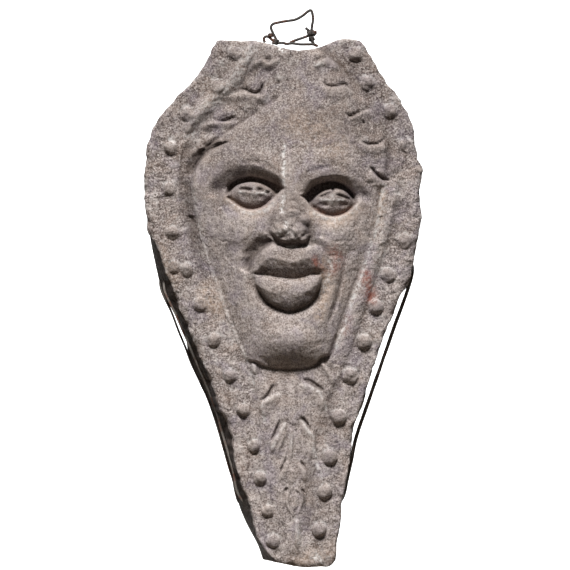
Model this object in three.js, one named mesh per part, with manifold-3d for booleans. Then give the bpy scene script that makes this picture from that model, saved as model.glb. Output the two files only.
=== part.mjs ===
// A green man mask carved in hard stone: a leafy head in a studded, kite-shaped border, slung in iron
// wire. Millimetres. +Z is up, the carved front faces -Y, and the origin lies on the flat pad of the
// back.
import * as THREE from "three";
import { mergeVertices } from "three/addons/utils/BufferGeometryUtils.js";
import Module from "manifold-3d";

// Driving sizes of the stone
const STONE_HEIGHT = 600;
const SLAB_DEPTH = 60; // from the wall to the face of the border
const RELIEF_RISE = 48; // the lips stand this far before the border
const FLANK_FLARE = 11; // the left flank widens this much towards the back
const ARRIS_WEAR = 4; // how far the worn front edge falls back
const BOSS_DIAMETER = 18;
const BOSS_HEIGHT = 7;
const BACK_FALL = 14; // the rough back falls away this far from its flat pad to its edges
const PAD_WIDTH = 110;
const PAD_HEIGHT = 290;

// Driving sizes of the iron wires
const WIRE_DIAMETER = 2.5;
const WIRE_CLEARANCE = 1; // between a wire and the stone
const TURN_SPACING = 20; // between the two turns of the sling, where they lie on a flank
const BORE_CLEARANCE = 1.2; // all round the two turns, in the bore through the foot
const BAIL_RISE = 38; // from the top of the stone to the peak of the bail
const JOINT_GAP = 0.4; // between wires that touch

// How finely the pieces are faceted: the spacings are between the corners of the front's facets
const GRID_ACROSS = 110;
const GRID_UP = 210;
const FACET_ERROR = 0.6;
const LEAST_SPACING = 3.6;
const MOST_SPACING = 30;
const RIM_SPACING = 9;
const BOSS_RINGS = [{ reach: 0, count: 1 }, { reach: 0.62, count: 7 }, { reach: 1.03, count: 10 }];
const BOSS_CLEAR = 1.35; // no other corner this near a boss, in its radii
const BALL_RINGS = [{ reach: 0.6, count: 9 }, { reach: 0.97, count: 20 }];
const SOCKET_RINGS = [{ reach: 1, count: 22 }];
const ROLL_ROWS = { rows: [-1, 0, 1], step: 9 }; // rows of corners along a stroke, in its half widths
const LAP_ROWS = { rows: [1, -0.2, -1.1, -2.4], step: 5.5 };
const WALL_ROWS = { rows: [-1, 0, 1], step: 6.5 }; // rows along a wall of the head, in its width
const WALL_WIDTH = 10;
const CHIN_HALF = 5;
const BORE_SIDES = 20;
const WIRE_SIDES = 6;
const STEPS_IN_BEND = 2;

// Places on the carving are [across, up], in thousandths of the stone's height. Rises are in hundredths
// of the relief's full rise, from the face of the border.
const share = STONE_HEIGHT / 1000;
const MEAN_WIDTH = 0.37 * STONE_HEIGHT; // of the stone, for laying out its facets
const PAD_MIDDLE = [0, -25];

// The outline seen from the front
const LEFT_SIDE = [
  [-127, 464], [-142, 426], [-150, 417], [-212, 343], [-254, 290], [-261, 237], [-265, 199], [-256, 114],
  [-250, 85], [-233, 9], [-223, -23], [-184, -100], [-134, -233], [-97, -369], [-68, -460], [-51, -485],
  [-36, -528],
];
const RIGHT_SIDE = [
  [152, 460], [167, 428], [197, 384], [214, 367], [248, 301], [252, 269], [263, 222], [259, 176],
  [261, 108], [241, 17], [206, -62], [172, -165], [134, -278], [125, -350], [112, -415], [110, -453],
  [100, -502], [98, -523],
];
const TOP_EDGE = [[-127, 464], [-61, 462], [0, 449], [32, 443], [78, 455], [121, 466], [152, 460]];
const FOOT_EDGE = [[-36, -528], [17, -532], [87, -534], [98, -523]];
const FLARE_FROM = 90; // the flare of the left flank starts at this height and is full at the next
const FLARE_FULL = 0;

// One boss at each of these places, worked by eye and so not quite even
const LEFT_BOSSES = [
  [-91, 439], [-125, 379], [-182, 324], [-212, 259], [-216, 182], [-208, 98], [-182, 28], [-157, -36],
  [-131, -104], [-100, -172], [-76, -237], [-55, -305], [-44, -366], [-28, -428], [-19, -481],
];
const RIGHT_BOSSES = [
  [136, 437], [159, 383], [203, 330], [233, 265], [218, 161], [229, 83], [199, 19], [176, -42],
  [153, -108], [127, -172], [106, -250], [89, -326], [80, -392], [68, -464],
];

// The head is two lofts, each with a left and a right side and a profile down its middle: the hair, and
// the face that stands before it
const HAIR = {
  left: [
    [-50, 470], [-56, 439], [-62, 415], [-76, 383], [-91, 364], [-117, 341], [-146, 312], [-163, 284],
    [-172, 244], [-174, 190], [-170, 130],
  ],
  right: [[76, 470], [92, 432], [128, 373], [168, 331], [196, 282], [206, 203], [206, 180], [200, 130]],
  profile: [[470, 14], [430, 22], [390, 30], [350, 38], [300, 44], [240, 44], [190, 38], [130, 10]],
  side: 12,
};
const FACE = {
  left: [
    [10, 370], [-20, 350], [-61, 318], [-97, 291], [-138, 258], [-160, 225], [-168, 190], [-163, 140],
    [-151, 68], [-129, 9], [-108, -44], [-91, -85], [-70, -140], [-60, -175],
  ],
  right: [
    [40, 370], [75, 358], [120, 328], [160, 285], [192, 235], [205, 187], [197, 114], [178, 42],
    [152, -30], [118, -110], [106, -160], [104, -175],
  ],
  profile: [
    [370, 36], [340, 52], [300, 64], [250, 72], [215, 74], [185, 68], [140, 64], [80, 64], [40, 66],
    [0, 66], [-40, 62], [-70, 65], [-100, 67], [-125, 62], [-145, 50], [-158, 36], [-175, 32],
  ],
  side: 14,
};
const LOFT_ROUNDNESS = 2.3; // how full the lofts are at the sides
const LOFT_SHOULDER = 0.75; // and how round their shoulders
const CHIN_LINE = [[-90, -134], [-64, -142], [-44, -149], [-15, -158], [57, -155], [74, -143], [120, -136]];

// Places of the face's parts: middle, half width and half height
const EYES = [
  { middle: [-60, 182], reach: [68, 45], ball: [-56, 171], almond: [50, 33] },
  { middle: [94, 169], reach: [62, 43], ball: [92, 157], almond: [45, 31] },
];
const SOCKET_DEPTH = 46;
const BALL_RISE = 30;
const CHEEKS = [[-100, 96, 66, 66], [122, 92, 54, 66]];
const CHEEK_RISE = 8;

// Long rolls and hollows: the line that they follow, half their width, and the rise (a fall is below 0)
const FRAME_LINES = [
  {
    line: [
      [-52, 458], [-62, 415], [-91, 366], [-148, 313], [-180, 240], [-186, 161], [-178, 85], [-158, -10],
    ],
    half: 15,
    rise: -22,
  },
  {
    line: [
      [222, 200], [216, 133], [195, 42], [168, -28], [136, -104], [116, -165], [72, -294], [50, -426],
      [44, -490],
    ],
    half: 20,
    rise: -14,
  },
  {
    line: [[194, 196], [186, 120], [164, 42], [138, -30], [104, -110], [96, -150], [96, -200]],
    half: 16,
    rise: 11,
  },
  { line: [[122, 50], [110, -15], [84, -80]], half: 8, rise: -12 },
  { line: [[-75, 436], [-95, 388], [-130, 352], [-172, 306]], half: 20, rise: 10 },
  { line: [[-190, 260], [-204, 161], [-196, 85], [-172, 0], [-120, -110], [-70, -240]], half: 16, rise: 7 },
  { line: [[-138, 20], [-115, -42], [-88, -110], [-56, -185], [-46, -270]], half: 10, rise: -8 },
];

// Rolls and hollows of the face
const FACE_LINES = [
  { line: [[-140, 190], [-104, 226], [-60, 234], [-20, 212], [8, 184]], half: 20, rise: 7 },
  { line: [[26, 188], [60, 210], [104, 216], [140, 200], [168, 168]], half: 18, rise: 7 },
  { line: [[15, 222], [15, 165], [15, 96]], half: 32, rise: 16 },
  { line: [[-18, 96], [14, 108], [46, 94]], half: 25, rise: 20 },
  { line: [[-14, 88], [-42, 70], [-68, 40]], half: 24, rise: -10 },
  { line: [[50, 80], [80, 66], [100, 40]], half: 20, rise: -4 },
  { line: [[-54, 30], [-24, 56], [14, 60], [54, 56], [84, 30]], half: 24, rise: 24 },
  { line: [[-52, 20], [-10, 20], [16, 17], [46, 19], [76, 22]], half: 10, rise: -30 },
  { line: [[-50, 6], [-18, -12], [12, -18], [44, -12], [72, 8]], half: 23, rise: 25 },
  { line: [[-56, 4], [-30, -38], [11, -55], [62, -36], [86, 4]], half: 16, rise: -8 },
];

// A lap is a cut, drilled deep, whose lower side stands up as a lip: the line it follows, left to right
const HAIR_LAPS = [
  [[-56, 433], [-40, 428], [-30, 421], [-17, 430]],
  [[-92, 362], [-72, 370], [-52, 362], [-40, 368], [-36, 378]],
  [[-148, 306], [-127, 309], [-108, 311], [-94, 320], [-80, 318]],
  [[-172, 242], [-157, 251], [-134, 261], [-119, 272], [-98, 274]],
  [[52, 415], [70, 421], [88, 433]],
  [[76, 377], [97, 372], [112, 378], [127, 372]],
  [[116, 325], [133, 318], [146, 330], [163, 330]],
  [[148, 268], [170, 264], [186, 268], [196, 284]],
  [[166, 224], [178, 208], [187, 199], [203, 203]],
];
const HAIR_LAP_SIZE = { cut: 26, lip: 13, reach: 13 };
const BEARD_LAPS = [
  [[-46, -222], [-32, -206], [-19, -184]],
  [[36, -180], [58, -191], [82, -203]],
  [[-24, -294], [-13, -277], [-3, -256]],
  [[33, -251], [45, -264], [58, -280]],
  [[-10, -354], [-2, -348], [4, -342]],
  [[34, -338], [42, -346], [48, -352]],
  [[-4, -390], [4, -386], [12, -380]],
];
const BEARD_LAP_SIZE = { cut: 14, lip: 9, reach: 10 };

// The beard: leaf blades lie as rolls on a low ground
const BEARD_GROUND = 7;
const BEARD_SIDES = {
  left: [[-66, -150], [-44, -250], [-38, -330], [-26, -430], [-2, -510]],
  right: [[92, -150], [84, -240], [62, -320], [46, -420], [38, -510]],
};
const BLADES = [
  { line: [[18, -172], [20, -260], [22, -400], [26, -505]], half: 9, rise: 8 },
  { line: [[2, -190], [-22, -214], [-37, -250]], half: 15, rise: 12 },
  { line: [[38, -192], [62, -210], [76, -250]], half: 15, rise: 12 },
  { line: [[6, -266], [-8, -290], [-17, -330]], half: 11, rise: 12 },
  { line: [[28, -262], [48, -290], [60, -345]], half: 11, rise: 12 },
  { line: [[24, -290], [36, -310], [42, -336]], half: 8, rise: 9 },
  { line: [[8, -296], [0, -315], [-2, -338]], half: 8, rise: 9 },
  { line: [[10, -342], [0, -362], [-9, -382]], half: 9, rise: 10 },
  { line: [[24, -342], [38, -356], [46, -380]], half: 9, rise: 10 },
  { line: [[14, -394], [20, -415], [22, -438]], half: 10, rise: 9 },
];

// The sling, seen from the front: the height at which it comes round each shoulder from behind, the
// heights at which it bears on each flank below, and where its two ends reach behind the top
const SLING = {
  left: { leaves: 4, bears: [-240, -330, -385], top: -20 },
  right: { leaves: 25, bears: [-288, -345, -390], top: 60 },
};
const SLING_TOP = 451;
const RUN_IN = 55; // over this height the sling comes forward on the flank from the shoulder
const BACK_STEPS = 4; // places that the sling touches behind the stone
const FOOT_BORE_HEIGHT = -417;
const SHOULDER_ROUND = 10; // the sling leaves the back this far from the corner of a shoulder
const TURN_PARTING = 1.6; // the second turn leaves beside the first, this many wires further out
const EDGE_SLANT = 1.35; // how much longer the way to the edge is along the ray from the pad's middle
const SLING_BEND = 4; // millimetres, as is the next
const BAIL_BEND = 2.3;

// The bail, seen from the front: the bent loop, the strand under it, a crossing strand, and the coils
// that knot them
const BAIL_LOOP = [
  [-36, 468], [-24, 472], [-15, 463], [-19, 486], [-8, 496], [25, 502], [50, 520], [57, 505], [55, 480],
  [61, 456],
];
const BAIL_STRAND = [[-15, 459], [10, 458], [60, 456]];
const BAIL_CROSSING = [[9, 459], [53, 473]];
const BAIL_COILS = [[-16, 468], [55, 477]];
const BAIL_FOOT = 464; // above this height the bail's places are stretched to the bail's rise
const BAIL_PEAK = 520;

const wasm = await Module();
wasm.setup();

const clamp = (v, low, high) => Math.min(high, Math.max(low, v));
const mix = (a, b, t) => a + (b - a) * t;
const smooth = (low, high, v) => {
  const t = clamp((v - low) / (high - low), 0, 1);
  return t * t * (3 - 2 * t);
};

// A smooth line through the points, as a fine polyline.
function smoothLine(points, perSpan = 4) {
  const curve = new THREE.SplineCurve(points.map(([x, z]) => new THREE.Vector2(x, z)));
  return curve.getPoints((points.length - 1) * perSpan).map((p) => [p.x, p.y]);
}

// The value of a polyline of [value, up] at a height, for a line that only rises or only falls.
function valueAtHeight(line, z) {
  const rising = line.at(-1)[1] > line[0][1];
  const ordered = rising ? line : [...line].reverse();
  if (z <= ordered[0][1]) return ordered[0][0];
  for (let i = 1; i < ordered.length; i++) {
    const [x0, z0] = ordered[i - 1];
    const [x1, z1] = ordered[i];
    if (z <= z1) return mix(x0, x1, (z - z0) / Math.max(z1 - z0, 1e-9));
  }
  return ordered.at(-1)[0];
}

// The value of a polyline of [across, value] at a place across.
const valueAcross = (line, x) => valueAtHeight(line.map(([a, b]) => [b, a]), x);

// The nearest place on a polyline: how far off, on which side (+1 is left of its run), and how far along,
// 0 to 1.
function nearestOn(line, x, z) {
  let best = { off: Infinity, side: 1, along: 0 };
  for (let i = 1; i < line.length; i++) {
    const [x0, z0] = line[i - 1];
    const [dx, dz] = [line[i][0] - x0, line[i][1] - z0];
    const t = clamp(((x - x0) * dx + (z - z0) * dz) / Math.max(dx * dx + dz * dz, 1e-9), 0, 1);
    const [ex, ez] = [x - x0 - t * dx, z - z0 - t * dz];
    const off = Math.hypot(ex, ez);
    if (off >= best.off) continue;
    best = { off, side: Math.sign(dx * ez - dz * ex) || 1, along: (i - 1 + t) / (line.length - 1) };
  }
  return best;
}

// The length of a polyline, and the place at a share of it with the way to its left.
const spans = (line) => line.slice(1).map(([x, z], i) => Math.hypot(x - line[i][0], z - line[i][1]));
const lengthOf = (line) => spans(line).reduce((a, b) => a + b, 0);
function placeAlong(line, t) {
  const lengths = spans(line);
  let rest = t * lengthOf(line);
  let i = 0;
  while (i < lengths.length - 1 && rest > lengths[i]) {
    rest -= lengths[i];
    i += 1;
  }
  const way = [0, 1].map((k) => (line[i + 1][k] - line[i][k]) / lengths[i]);
  return { at: [0, 1].map((k) => line[i][k] + way[k] * rest), left: [-way[1], way[0]] };
}

// A line with the box that holds all it reaches, so that far places are passed over.
function stroke(points, reach, size) {
  const line = smoothLine(points);
  const box = new THREE.Box2().setFromPoints(line.map(([x, z]) => new THREE.Vector2(x, z)));
  return { line, box: box.expandByScalar(reach), reach, ...size };
}
const inBox = (s, x, z) => x > s.box.min.x && x < s.box.max.x && z > s.box.min.y && z < s.box.max.y;

// How full a stroke is along its run: 1 in the middle, and 0 at both ends, where it also grows narrow.
const fullness = (along) => Math.sqrt(Math.max(0, 1 - Math.abs(2 * along - 1) ** 3));

// A rounded roll or hollow along a line.
function roll(s, x, z) {
  if (!inBox(s, x, z)) return 0;
  const { off, along } = nearestOn(s.line, x, z);
  const full = fullness(along);
  const half = s.half * full;
  return off < half ? s.rise * full * (1 - (off / half) ** 2) ** 1.5 : 0;
}

// A cut with a raised lip on its lower side.
function lap(s, x, z) {
  if (!inBox(s, x, z)) return 0;
  const { off, side, along } = nearestOn(s.line, x, z);
  const full = fullness(along);
  const reach = s.reach * full;
  const half = 0.6 * reach;
  const cut = off < half ? -s.cut * (1 - (off / half) ** 2) ** 2 : 0;
  const away = (off - 0.25 * reach) / (1.2 * reach);
  const lip = side < 0 && away > 0 && away < 1 ? s.lip * 4 * away * (1 - away) ** 2 : 0;
  return (cut + lip) * full;
}

// A dome over an ellipse: 1 in its middle and 0 at its rim.
function dome(x, z, [cx, cz, rx, rz], power = 1) {
  const r2 = ((x - cx) / rx) ** 2 + ((z - cz) / rz) ** 2;
  return r2 < 1 ? (1 - r2) ** power : 0;
}

const rolls = (list) => list.map(({ line, half, rise }) => stroke(line, half, { half, rise }));
const laps = (list, size) => list.map((line) => stroke(line, 1.5 * size.reach, size));
const frameRolls = rolls(FRAME_LINES);
const faceRolls = rolls(FACE_LINES);
const blades = rolls(BLADES);
const allLaps = [...laps(HAIR_LAPS, HAIR_LAP_SIZE), ...laps(BEARD_LAPS, BEARD_LAP_SIZE)];

const leftLine = smoothLine(LEFT_SIDE);
const rightLine = smoothLine(RIGHT_SIDE);
const topLine = smoothLine(TOP_EDGE);
const footLine = smoothLine(FOOT_EDGE);
const beardLeft = smoothLine(BEARD_SIDES.left);
const beardRight = smoothLine(BEARD_SIDES.right);

const flareAt = (z) => (FLANK_FLARE / share) * smooth(FLARE_FROM, FLARE_FULL, z);
const frontLeft = leftLine.map(([x, z]) => [x + flareAt(z), z]);

// A loft: its middle profile carried across to both sides as part of a full oval, with a low wall at the
// sides.
const lofted = ({ left, right, profile, side }) => ({
  left: smoothLine(left, 8),
  right: smoothLine(right, 8),
  profile: smoothLine(profile.map(([z, rise]) => [rise, z]), 8),
  side,
});
function loft(form, x, z) {
  if (z < form.profile.at(-1)[1] || z > form.profile[0][1]) return 0;
  const [left, right] = [valueAtHeight(form.left, z), valueAtHeight(form.right, z)];
  const across = Math.abs((2 * (x - left)) / (right - left) - 1);
  if (across >= 1) return 0;
  const oval = (1 - across ** LOFT_ROUNDNESS) ** LOFT_SHOULDER;
  const wall = form.side * smooth(1, 0.94, across);
  return mix(wall, valueAtHeight(form.profile, z), oval);
}
const hair = lofted(HAIR);
const face = lofted(FACE);

// The head, cut off under the chin.
function head(x, z) {
  const chin = smooth(-5, 3, z - valueAcross(CHIN_LINE, x));
  return Math.max(loft(hair, x, z), loft(face, x, z)) * chin;
}

// The low, leafy ground of the beard, under the chin.
function beardGround(x, z) {
  const [left, right] = [valueAtHeight(beardLeft, z), valueAtHeight(beardRight, z)];
  const inside = Math.min(x - left, right - x);
  return BEARD_GROUND * smooth(0, 10, inside) * smooth(-520, -490, z) * smooth(-130, -150, z);
}

// An eye: a socket, steep under the brow and easy below, with a rounded eyeball in it.
function eye({ middle, reach, ball, almond }, x, z) {
  const steepness = mix(1.3, 0.75, smooth(-0.5, 0.6, (z - middle[1]) / reach[1]));
  const socket = dome(x, z, [...middle, ...reach], steepness);
  const round = dome(x, z, [...ball, ...almond], 0.8);
  return -SOCKET_DEPTH * socket + BALL_RISE * round;
}

// The rise of the carving, in hundredths of its full rise, without the bosses.
function carving(x, z) {
  let rise = Math.max(head(x, z), beardGround(x, z));
  for (const s of frameRolls) rise += roll(s, x, z);
  for (const s of blades) rise += roll(s, x, z);
  if (z > valueAcross(CHIN_LINE, x)) {
    for (const s of faceRolls) rise += roll(s, x, z);
    for (const cheek of CHEEKS) rise += CHEEK_RISE * dome(x, z, cheek, 2);
    for (const e of EYES) rise += eye(e, x, z);
  }
  for (const s of allLaps) rise += lap(s, x, z);
  return rise;
}

// The bosses: low rounded studs, in millimetres.
const bossRadius = BOSS_DIAMETER / 2 / share;
function bosses(x, z) {
  let rise = 0;
  for (const [bx, bz] of [...LEFT_BOSSES, ...RIGHT_BOSSES]) {
    rise = Math.max(rise, BOSS_HEIGHT * dome(x, z, [bx, bz, bossRadius, bossRadius], 0.6));
  }
  return rise;
}

const rim = [...frontLeft, ...footLine, ...[...rightLine].reverse(), ...[...topLine].reverse()];

// How far the front stands from the wall, in millimetres.
function frontDepth(x, z) {
  const inward = nearestOn(rim, x, z).off * share;
  const worn = ARRIS_WEAR * Math.exp(-inward / ARRIS_WEAR);
  return SLAB_DEPTH - worn + (RELIEF_RISE / 100) * carving(x, z) + bosses(x, z);
}

// A place in the outline: s runs across from left to right and t up from the foot, both 0 to 1. The four
// edge lines are blended, so that the sides, the top and the foot are all followed.
function placeIn(left, right, s, t) {
  const onSide = (line) => {
    const z = mix(line.at(-1)[1], line[0][1], t);
    return [valueAtHeight(line, z), z];
  };
  const onEdge = (line, end) => {
    const x = mix(left.at(end)[0], right.at(end)[0], s);
    return [x, valueAcross(line, x)];
  };
  const [l, r, b, u] = [onSide(left), onSide(right), onEdge(footLine, -1), onEdge(topLine, 0)];
  const corner = (k) => {
    const [low, high] = [-1, 0].map((end) => mix(left.at(end)[k], right.at(end)[k], s));
    return mix(low, high, t);
  };
  return [0, 1].map((k) => mix(l[k], r[k], s) + mix(b[k], u[k], t) - corner(k));
}

// A point of the front, with its place s, t in the outline.
function frontPoint(s, t) {
  const [x, z] = placeIn(frontLeft, rightLine, s, t);
  return { s, t, at: new THREE.Vector3(x * share, -frontDepth(x, z), z * share) };
}

// A steady scatter of grid places, up to a third of a step, so that facets don't line up in rows.
const scatter = (i, j, k) => 0.7 * (Math.abs(Math.sin(i * 12.99 + j * 78.23 + k) * 43758.55) % 1) - 0.35;

// How far apart facet corners may stand at each place of a grid laid over the front: close where the
// carving turns sharply, wide where it is flat, so that no facet misses the stone by more than about the
// facet error.
function spacingGrid() {
  const rows = [];
  for (let j = 0; j <= GRID_UP; j++) {
    rows.push([]);
    for (let i = 0; i <= GRID_ACROSS; i++) {
      rows[j].push(frontPoint((i + scatter(i, j, 0)) / GRID_ACROSS, (j + scatter(i, j, 1)) / GRID_UP));
    }
  }
  const bend = (a, p, b) => {
    const run = Math.hypot(a.at.x - b.at.x, a.at.z - b.at.z) / 2;
    const turn = Math.abs(a.at.y + b.at.y - 2 * p.at.y) / run ** 2;
    return turn / (1 + ((a.at.y - b.at.y) / (2 * run)) ** 2);
  };
  const places = [];
  const k = 2;
  for (let j = k; j <= GRID_UP - k; j++) {
    for (let i = k; i <= GRID_ACROSS - k; i++) {
      const p = rows[j][i];
      const sharpest = Math.max(
        bend(rows[j][i - k], p, rows[j][i + k]),
        bend(rows[j - k][i], p, rows[j + k][i]),
        bend(rows[j - k][i - k], p, rows[j + k][i + k]),
        bend(rows[j - k][i + k], p, rows[j + k][i - k]),
      );
      const spacing = clamp(Math.sqrt((8 * FACET_ERROR) / sharpest), LEAST_SPACING, MOST_SPACING);
      places.push({ ...p, spacing });
    }
  }
  return places;
}

// The corners of the front's facets: even along the rim, ringed round each boss, in rows along every
// stroke, and then the sharpest places first.
function facetCorners() {
  const kept = rimCorners();
  const rimCount = kept.length;
  const clear = ({ at }, spacing) => kept.every((q) => Math.hypot(at.x - q.at.x, at.z - q.at.z) > spacing);
  const add = (x, z, spacing) => {
    const p = frontPoint(...placeOf(x, z));
    if (Math.hypot(p.at.x - x * share, p.at.z - z * share) < 0.1 && clear(p, spacing)) kept.push(p);
  };
  const addRings = ([cx, cz], [rx, rz], rings) => {
    for (const { reach, count } of rings) {
      for (let i = 0; i < count; i++) {
        const angle = (2 * Math.PI * i) / count;
        add(cx + reach * rx * Math.cos(angle), cz + reach * rz * Math.sin(angle), LEAST_SPACING / 2);
      }
    }
  };
  const bossPlaces = [...LEFT_BOSSES, ...RIGHT_BOSSES];
  for (const place of bossPlaces) addRings(place, [bossRadius, bossRadius], BOSS_RINGS);
  for (const { middle, reach, ball, almond } of EYES) {
    addRings(ball, almond, BALL_RINGS);
    addRings(middle, reach, SOCKET_RINGS);
  }
  const bossEdge = BOSS_CLEAR * bossRadius;
  const offBosses = (x, z) => bossPlaces.every(([bx, bz]) => Math.hypot(x - bx, z - bz) > bossEdge);
  const rowsAlong = (line, half, { rows, step }, tapered = true) => {
    const steps = Math.ceil((lengthOf(line) * share) / step);
    for (let i = 0; i <= steps; i++) {
      const { at, left } = placeAlong(line, i / steps);
      const full = tapered ? Math.max(fullness(i / steps), 0.1) : 1;
      for (const row of rows) {
        const [x, z] = [0, 1].map((k) => at[k] + left[k] * row * half * full);
        if (offBosses(x, z)) add(x, z, 0.7 * LEAST_SPACING);
      }
    }
  };
  for (const s of allLaps) rowsAlong(s.line, 0.6 * s.reach, LAP_ROWS);
  rowsAlong(CHIN_LINE, CHIN_HALF, WALL_ROWS, false);
  for (const { left, right } of [face, hair]) {
    rowsAlong(left, WALL_WIDTH, WALL_ROWS, false);
    rowsAlong(right, WALL_WIDTH, WALL_ROWS, false);
  }
  for (const s of [...faceRolls, ...blades, ...frameRolls]) rowsAlong(s.line, s.half, ROLL_ROWS);
  for (const p of spacingGrid().sort((a, b) => a.spacing - b.spacing)) {
    if (offBosses(p.at.x / share, p.at.z / share) && clear(p, p.spacing)) kept.push(p);
  }
  return { corners: kept, rimCount };
}

// The corners along the rim, from the foot's left end and round.
function rimCorners() {
  const across = ([first, last]) => (last[0] - first[0]) * share;
  const up = (LEFT_SIDE[0][1] - LEFT_SIDE.at(-1)[1]) * share;
  const sides = [
    { length: across([FOOT_EDGE[0], FOOT_EDGE.at(-1)]), place: (t) => [t, 0] },
    { length: up, place: (t) => [1, t] },
    { length: across([TOP_EDGE[0], TOP_EDGE.at(-1)]), place: (t) => [1 - t, 1] },
    { length: up, place: (t) => [0, 1 - t] },
  ];
  return sides.flatMap(({ length, place }) => {
    const steps = Math.round(length / RIM_SPACING);
    return Array.from({ length: steps }, (_, i) => frontPoint(...place(i / steps)));
  });
}

// The place s, t in the outline of a point across and up, found by closing in on it.
function placeOf(x, z) {
  let [s, t] = [0.5, 0.5];
  for (let i = 0; i < 12; i++) {
    const [px, pz] = placeIn(frontLeft, rightLine, s, t);
    const width = valueAtHeight(rightLine, pz) - valueAtHeight(frontLeft, pz);
    s = clamp(s + (x - px) / width, 0.001, 0.999);
    t = clamp(t + (z - pz) / (LEFT_SIDE[0][1] - LEFT_SIDE.at(-1)[1]), 0.001, 0.999);
  }
  return [s, t];
}

// Triangles between points on a rectangle, none of whose circles holds a further point. The first four
// triangles' corners are the rectangle's own, and a point on its edge parts that edge.
function triangulate(points, corners) {
  const circled = (a, b, c) => {
    const [ax, ay, bx, by, cx, cy] = [...points[a], ...points[b], ...points[c]];
    const twice = 2 * ((bx - ax) * (cy - ay) - (by - ay) * (cx - ax));
    if (Math.abs(twice) < 1e-9) return null;
    const [b2, c2] = [(bx - ax) ** 2 + (by - ay) ** 2, (cx - ax) ** 2 + (cy - ay) ** 2];
    const ux = ((cy - ay) * b2 - (by - ay) * c2) / twice;
    const uy = ((bx - ax) * c2 - (cx - ax) * b2) / twice;
    return { corners: twice > 0 ? [a, b, c] : [a, c, b], x: ax + ux, y: ay + uy, r2: ux * ux + uy * uy };
  };
  const [a, b, c, d] = corners;
  let triangles = [circled(a, b, c), circled(a, c, d)];
  points.forEach(([x, y], p) => {
    if (corners.includes(p)) return;
    const open = new Map();
    const rest = [];
    for (const t of triangles) {
      if ((x - t.x) ** 2 + (y - t.y) ** 2 > t.r2 * (1 + 1e-12)) {
        rest.push(t);
        continue;
      }
      t.corners.forEach((from, i) => {
        const to = t.corners[(i + 1) % 3];
        if (!open.delete(to + " " + from)) open.set(from + " " + to, [from, to]);
      });
    }
    triangles = [...rest, ...[...open.values()].map(([from, to]) => circled(from, to, p)).filter(Boolean)];
  });
  return triangles.map((t) => t.corners);
}

// The back: a flat oval pad on the wall, from which the rough stone falls away evenly to its edges.
const padPoint = ([x, z]) => {
  const angle = Math.atan2((z - PAD_MIDDLE[1]) / PAD_HEIGHT, (x - PAD_MIDDLE[0]) / PAD_WIDTH);
  return [
    PAD_MIDDLE[0] + (PAD_WIDTH / 2 / share) * Math.cos(angle),
    PAD_MIDDLE[1] + (PAD_HEIGHT / 2 / share) * Math.sin(angle),
  ];
};

function stoneBlock() {
  const { corners, rimCount } = facetCorners();
  const flat = corners.map(({ s, t }) => [s * MEAN_WIDTH, t * STONE_HEIGHT]);
  const cornerAt = (s, t) => corners.findIndex((p) => p.s === s && p.t === t);
  const square = [cornerAt(0, 0), cornerAt(1, 0), cornerAt(1, 1), cornerAt(0, 1)];
  const positions = corners.flatMap(({ at }) => [at.x, at.y, at.z]);
  const add = (v) => positions.push(v.x, v.y, v.z) / 3 - 1;
  const faces = triangulate(flat, square).flat();
  const edge = corners.slice(0, rimCount);
  const outline = edge.map(({ s, t }) => placeIn(leftLine, rightLine, s, t));
  const rings = [
    edge.map((_, i) => i),
    outline.map(([x, z]) => add(new THREE.Vector3(x * share, -BACK_FALL, z * share))),
    outline.map(padPoint).map(([x, z]) => add(new THREE.Vector3(x * share, 0, z * share))),
  ];
  for (let r = 1; r < rings.length; r++) {
    const [front, back] = [rings[r - 1], rings[r]];
    for (let i = 0; i < edge.length; i++) {
      const n = (i + 1) % edge.length;
      faces.push(front[i], back[i], back[n], front[i], back[n], front[n]);
    }
  }
  const pad = rings.at(-1);
  const middle = add(new THREE.Vector3(PAD_MIDDLE[0] * share, 0, PAD_MIDDLE[1] * share));
  for (let i = 0; i < pad.length; i++) faces.push(pad[i], middle, pad[(i + 1) % pad.length]);
  return { positions: new Float32Array(positions), faces: new Uint32Array(faces) };
}

// A closed mesh as a solid, and a solid as a geometry.
function solidOf(geometry) {
  const bare = geometry.clone();
  bare.deleteAttribute("normal");
  bare.deleteAttribute("uv");
  const merged = mergeVertices(bare, 1e-4);
  return new wasm.Manifold(
    new wasm.Mesh({
      numProp: 3,
      vertProperties: new Float32Array(merged.attributes.position.array),
      triVerts: new Uint32Array(merged.index.array),
    }),
  );
}
function geometryOf(solid) {
  const mesh = solid.getMesh();
  return new THREE.BufferGeometry()
    .setAttribute("position", new THREE.BufferAttribute(new Float32Array(mesh.vertProperties), 3))
    .setIndex(new THREE.BufferAttribute(new Uint32Array(mesh.triVerts), 1));
}

// Depths from the wall, in millimetres
const wireRadius = WIRE_DIAMETER / 2;
const wireOff = wireRadius + WIRE_CLEARANCE;
const outerTurnDepth = BACK_FALL + WIRE_DIAMETER;
const boreDepth = outerTurnDepth + TURN_SPACING / 2;
const inBoreDepth = (turn) => boreDepth + (turn - 0.5) * (WIRE_DIAMETER + JOINT_GAP);

// How far the back stands from the wall, in millimetres, at a place on it.
const outlineBack = [...leftLine, ...footLine, ...[...rightLine].reverse(), ...[...topLine].reverse()];
function backDepth(x, z) {
  const middle = new THREE.Vector2(...PAD_MIDDLE);
  const reach = middle.distanceTo(new THREE.Vector2(x, z));
  const inner = middle.distanceTo(new THREE.Vector2(...padPoint([x, z])));
  const outer = reach + nearestOn(outlineBack, x, z).off * EDGE_SLANT;
  return BACK_FALL * clamp((reach - inner) / (outer - inner), 0, 1);
}

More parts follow.
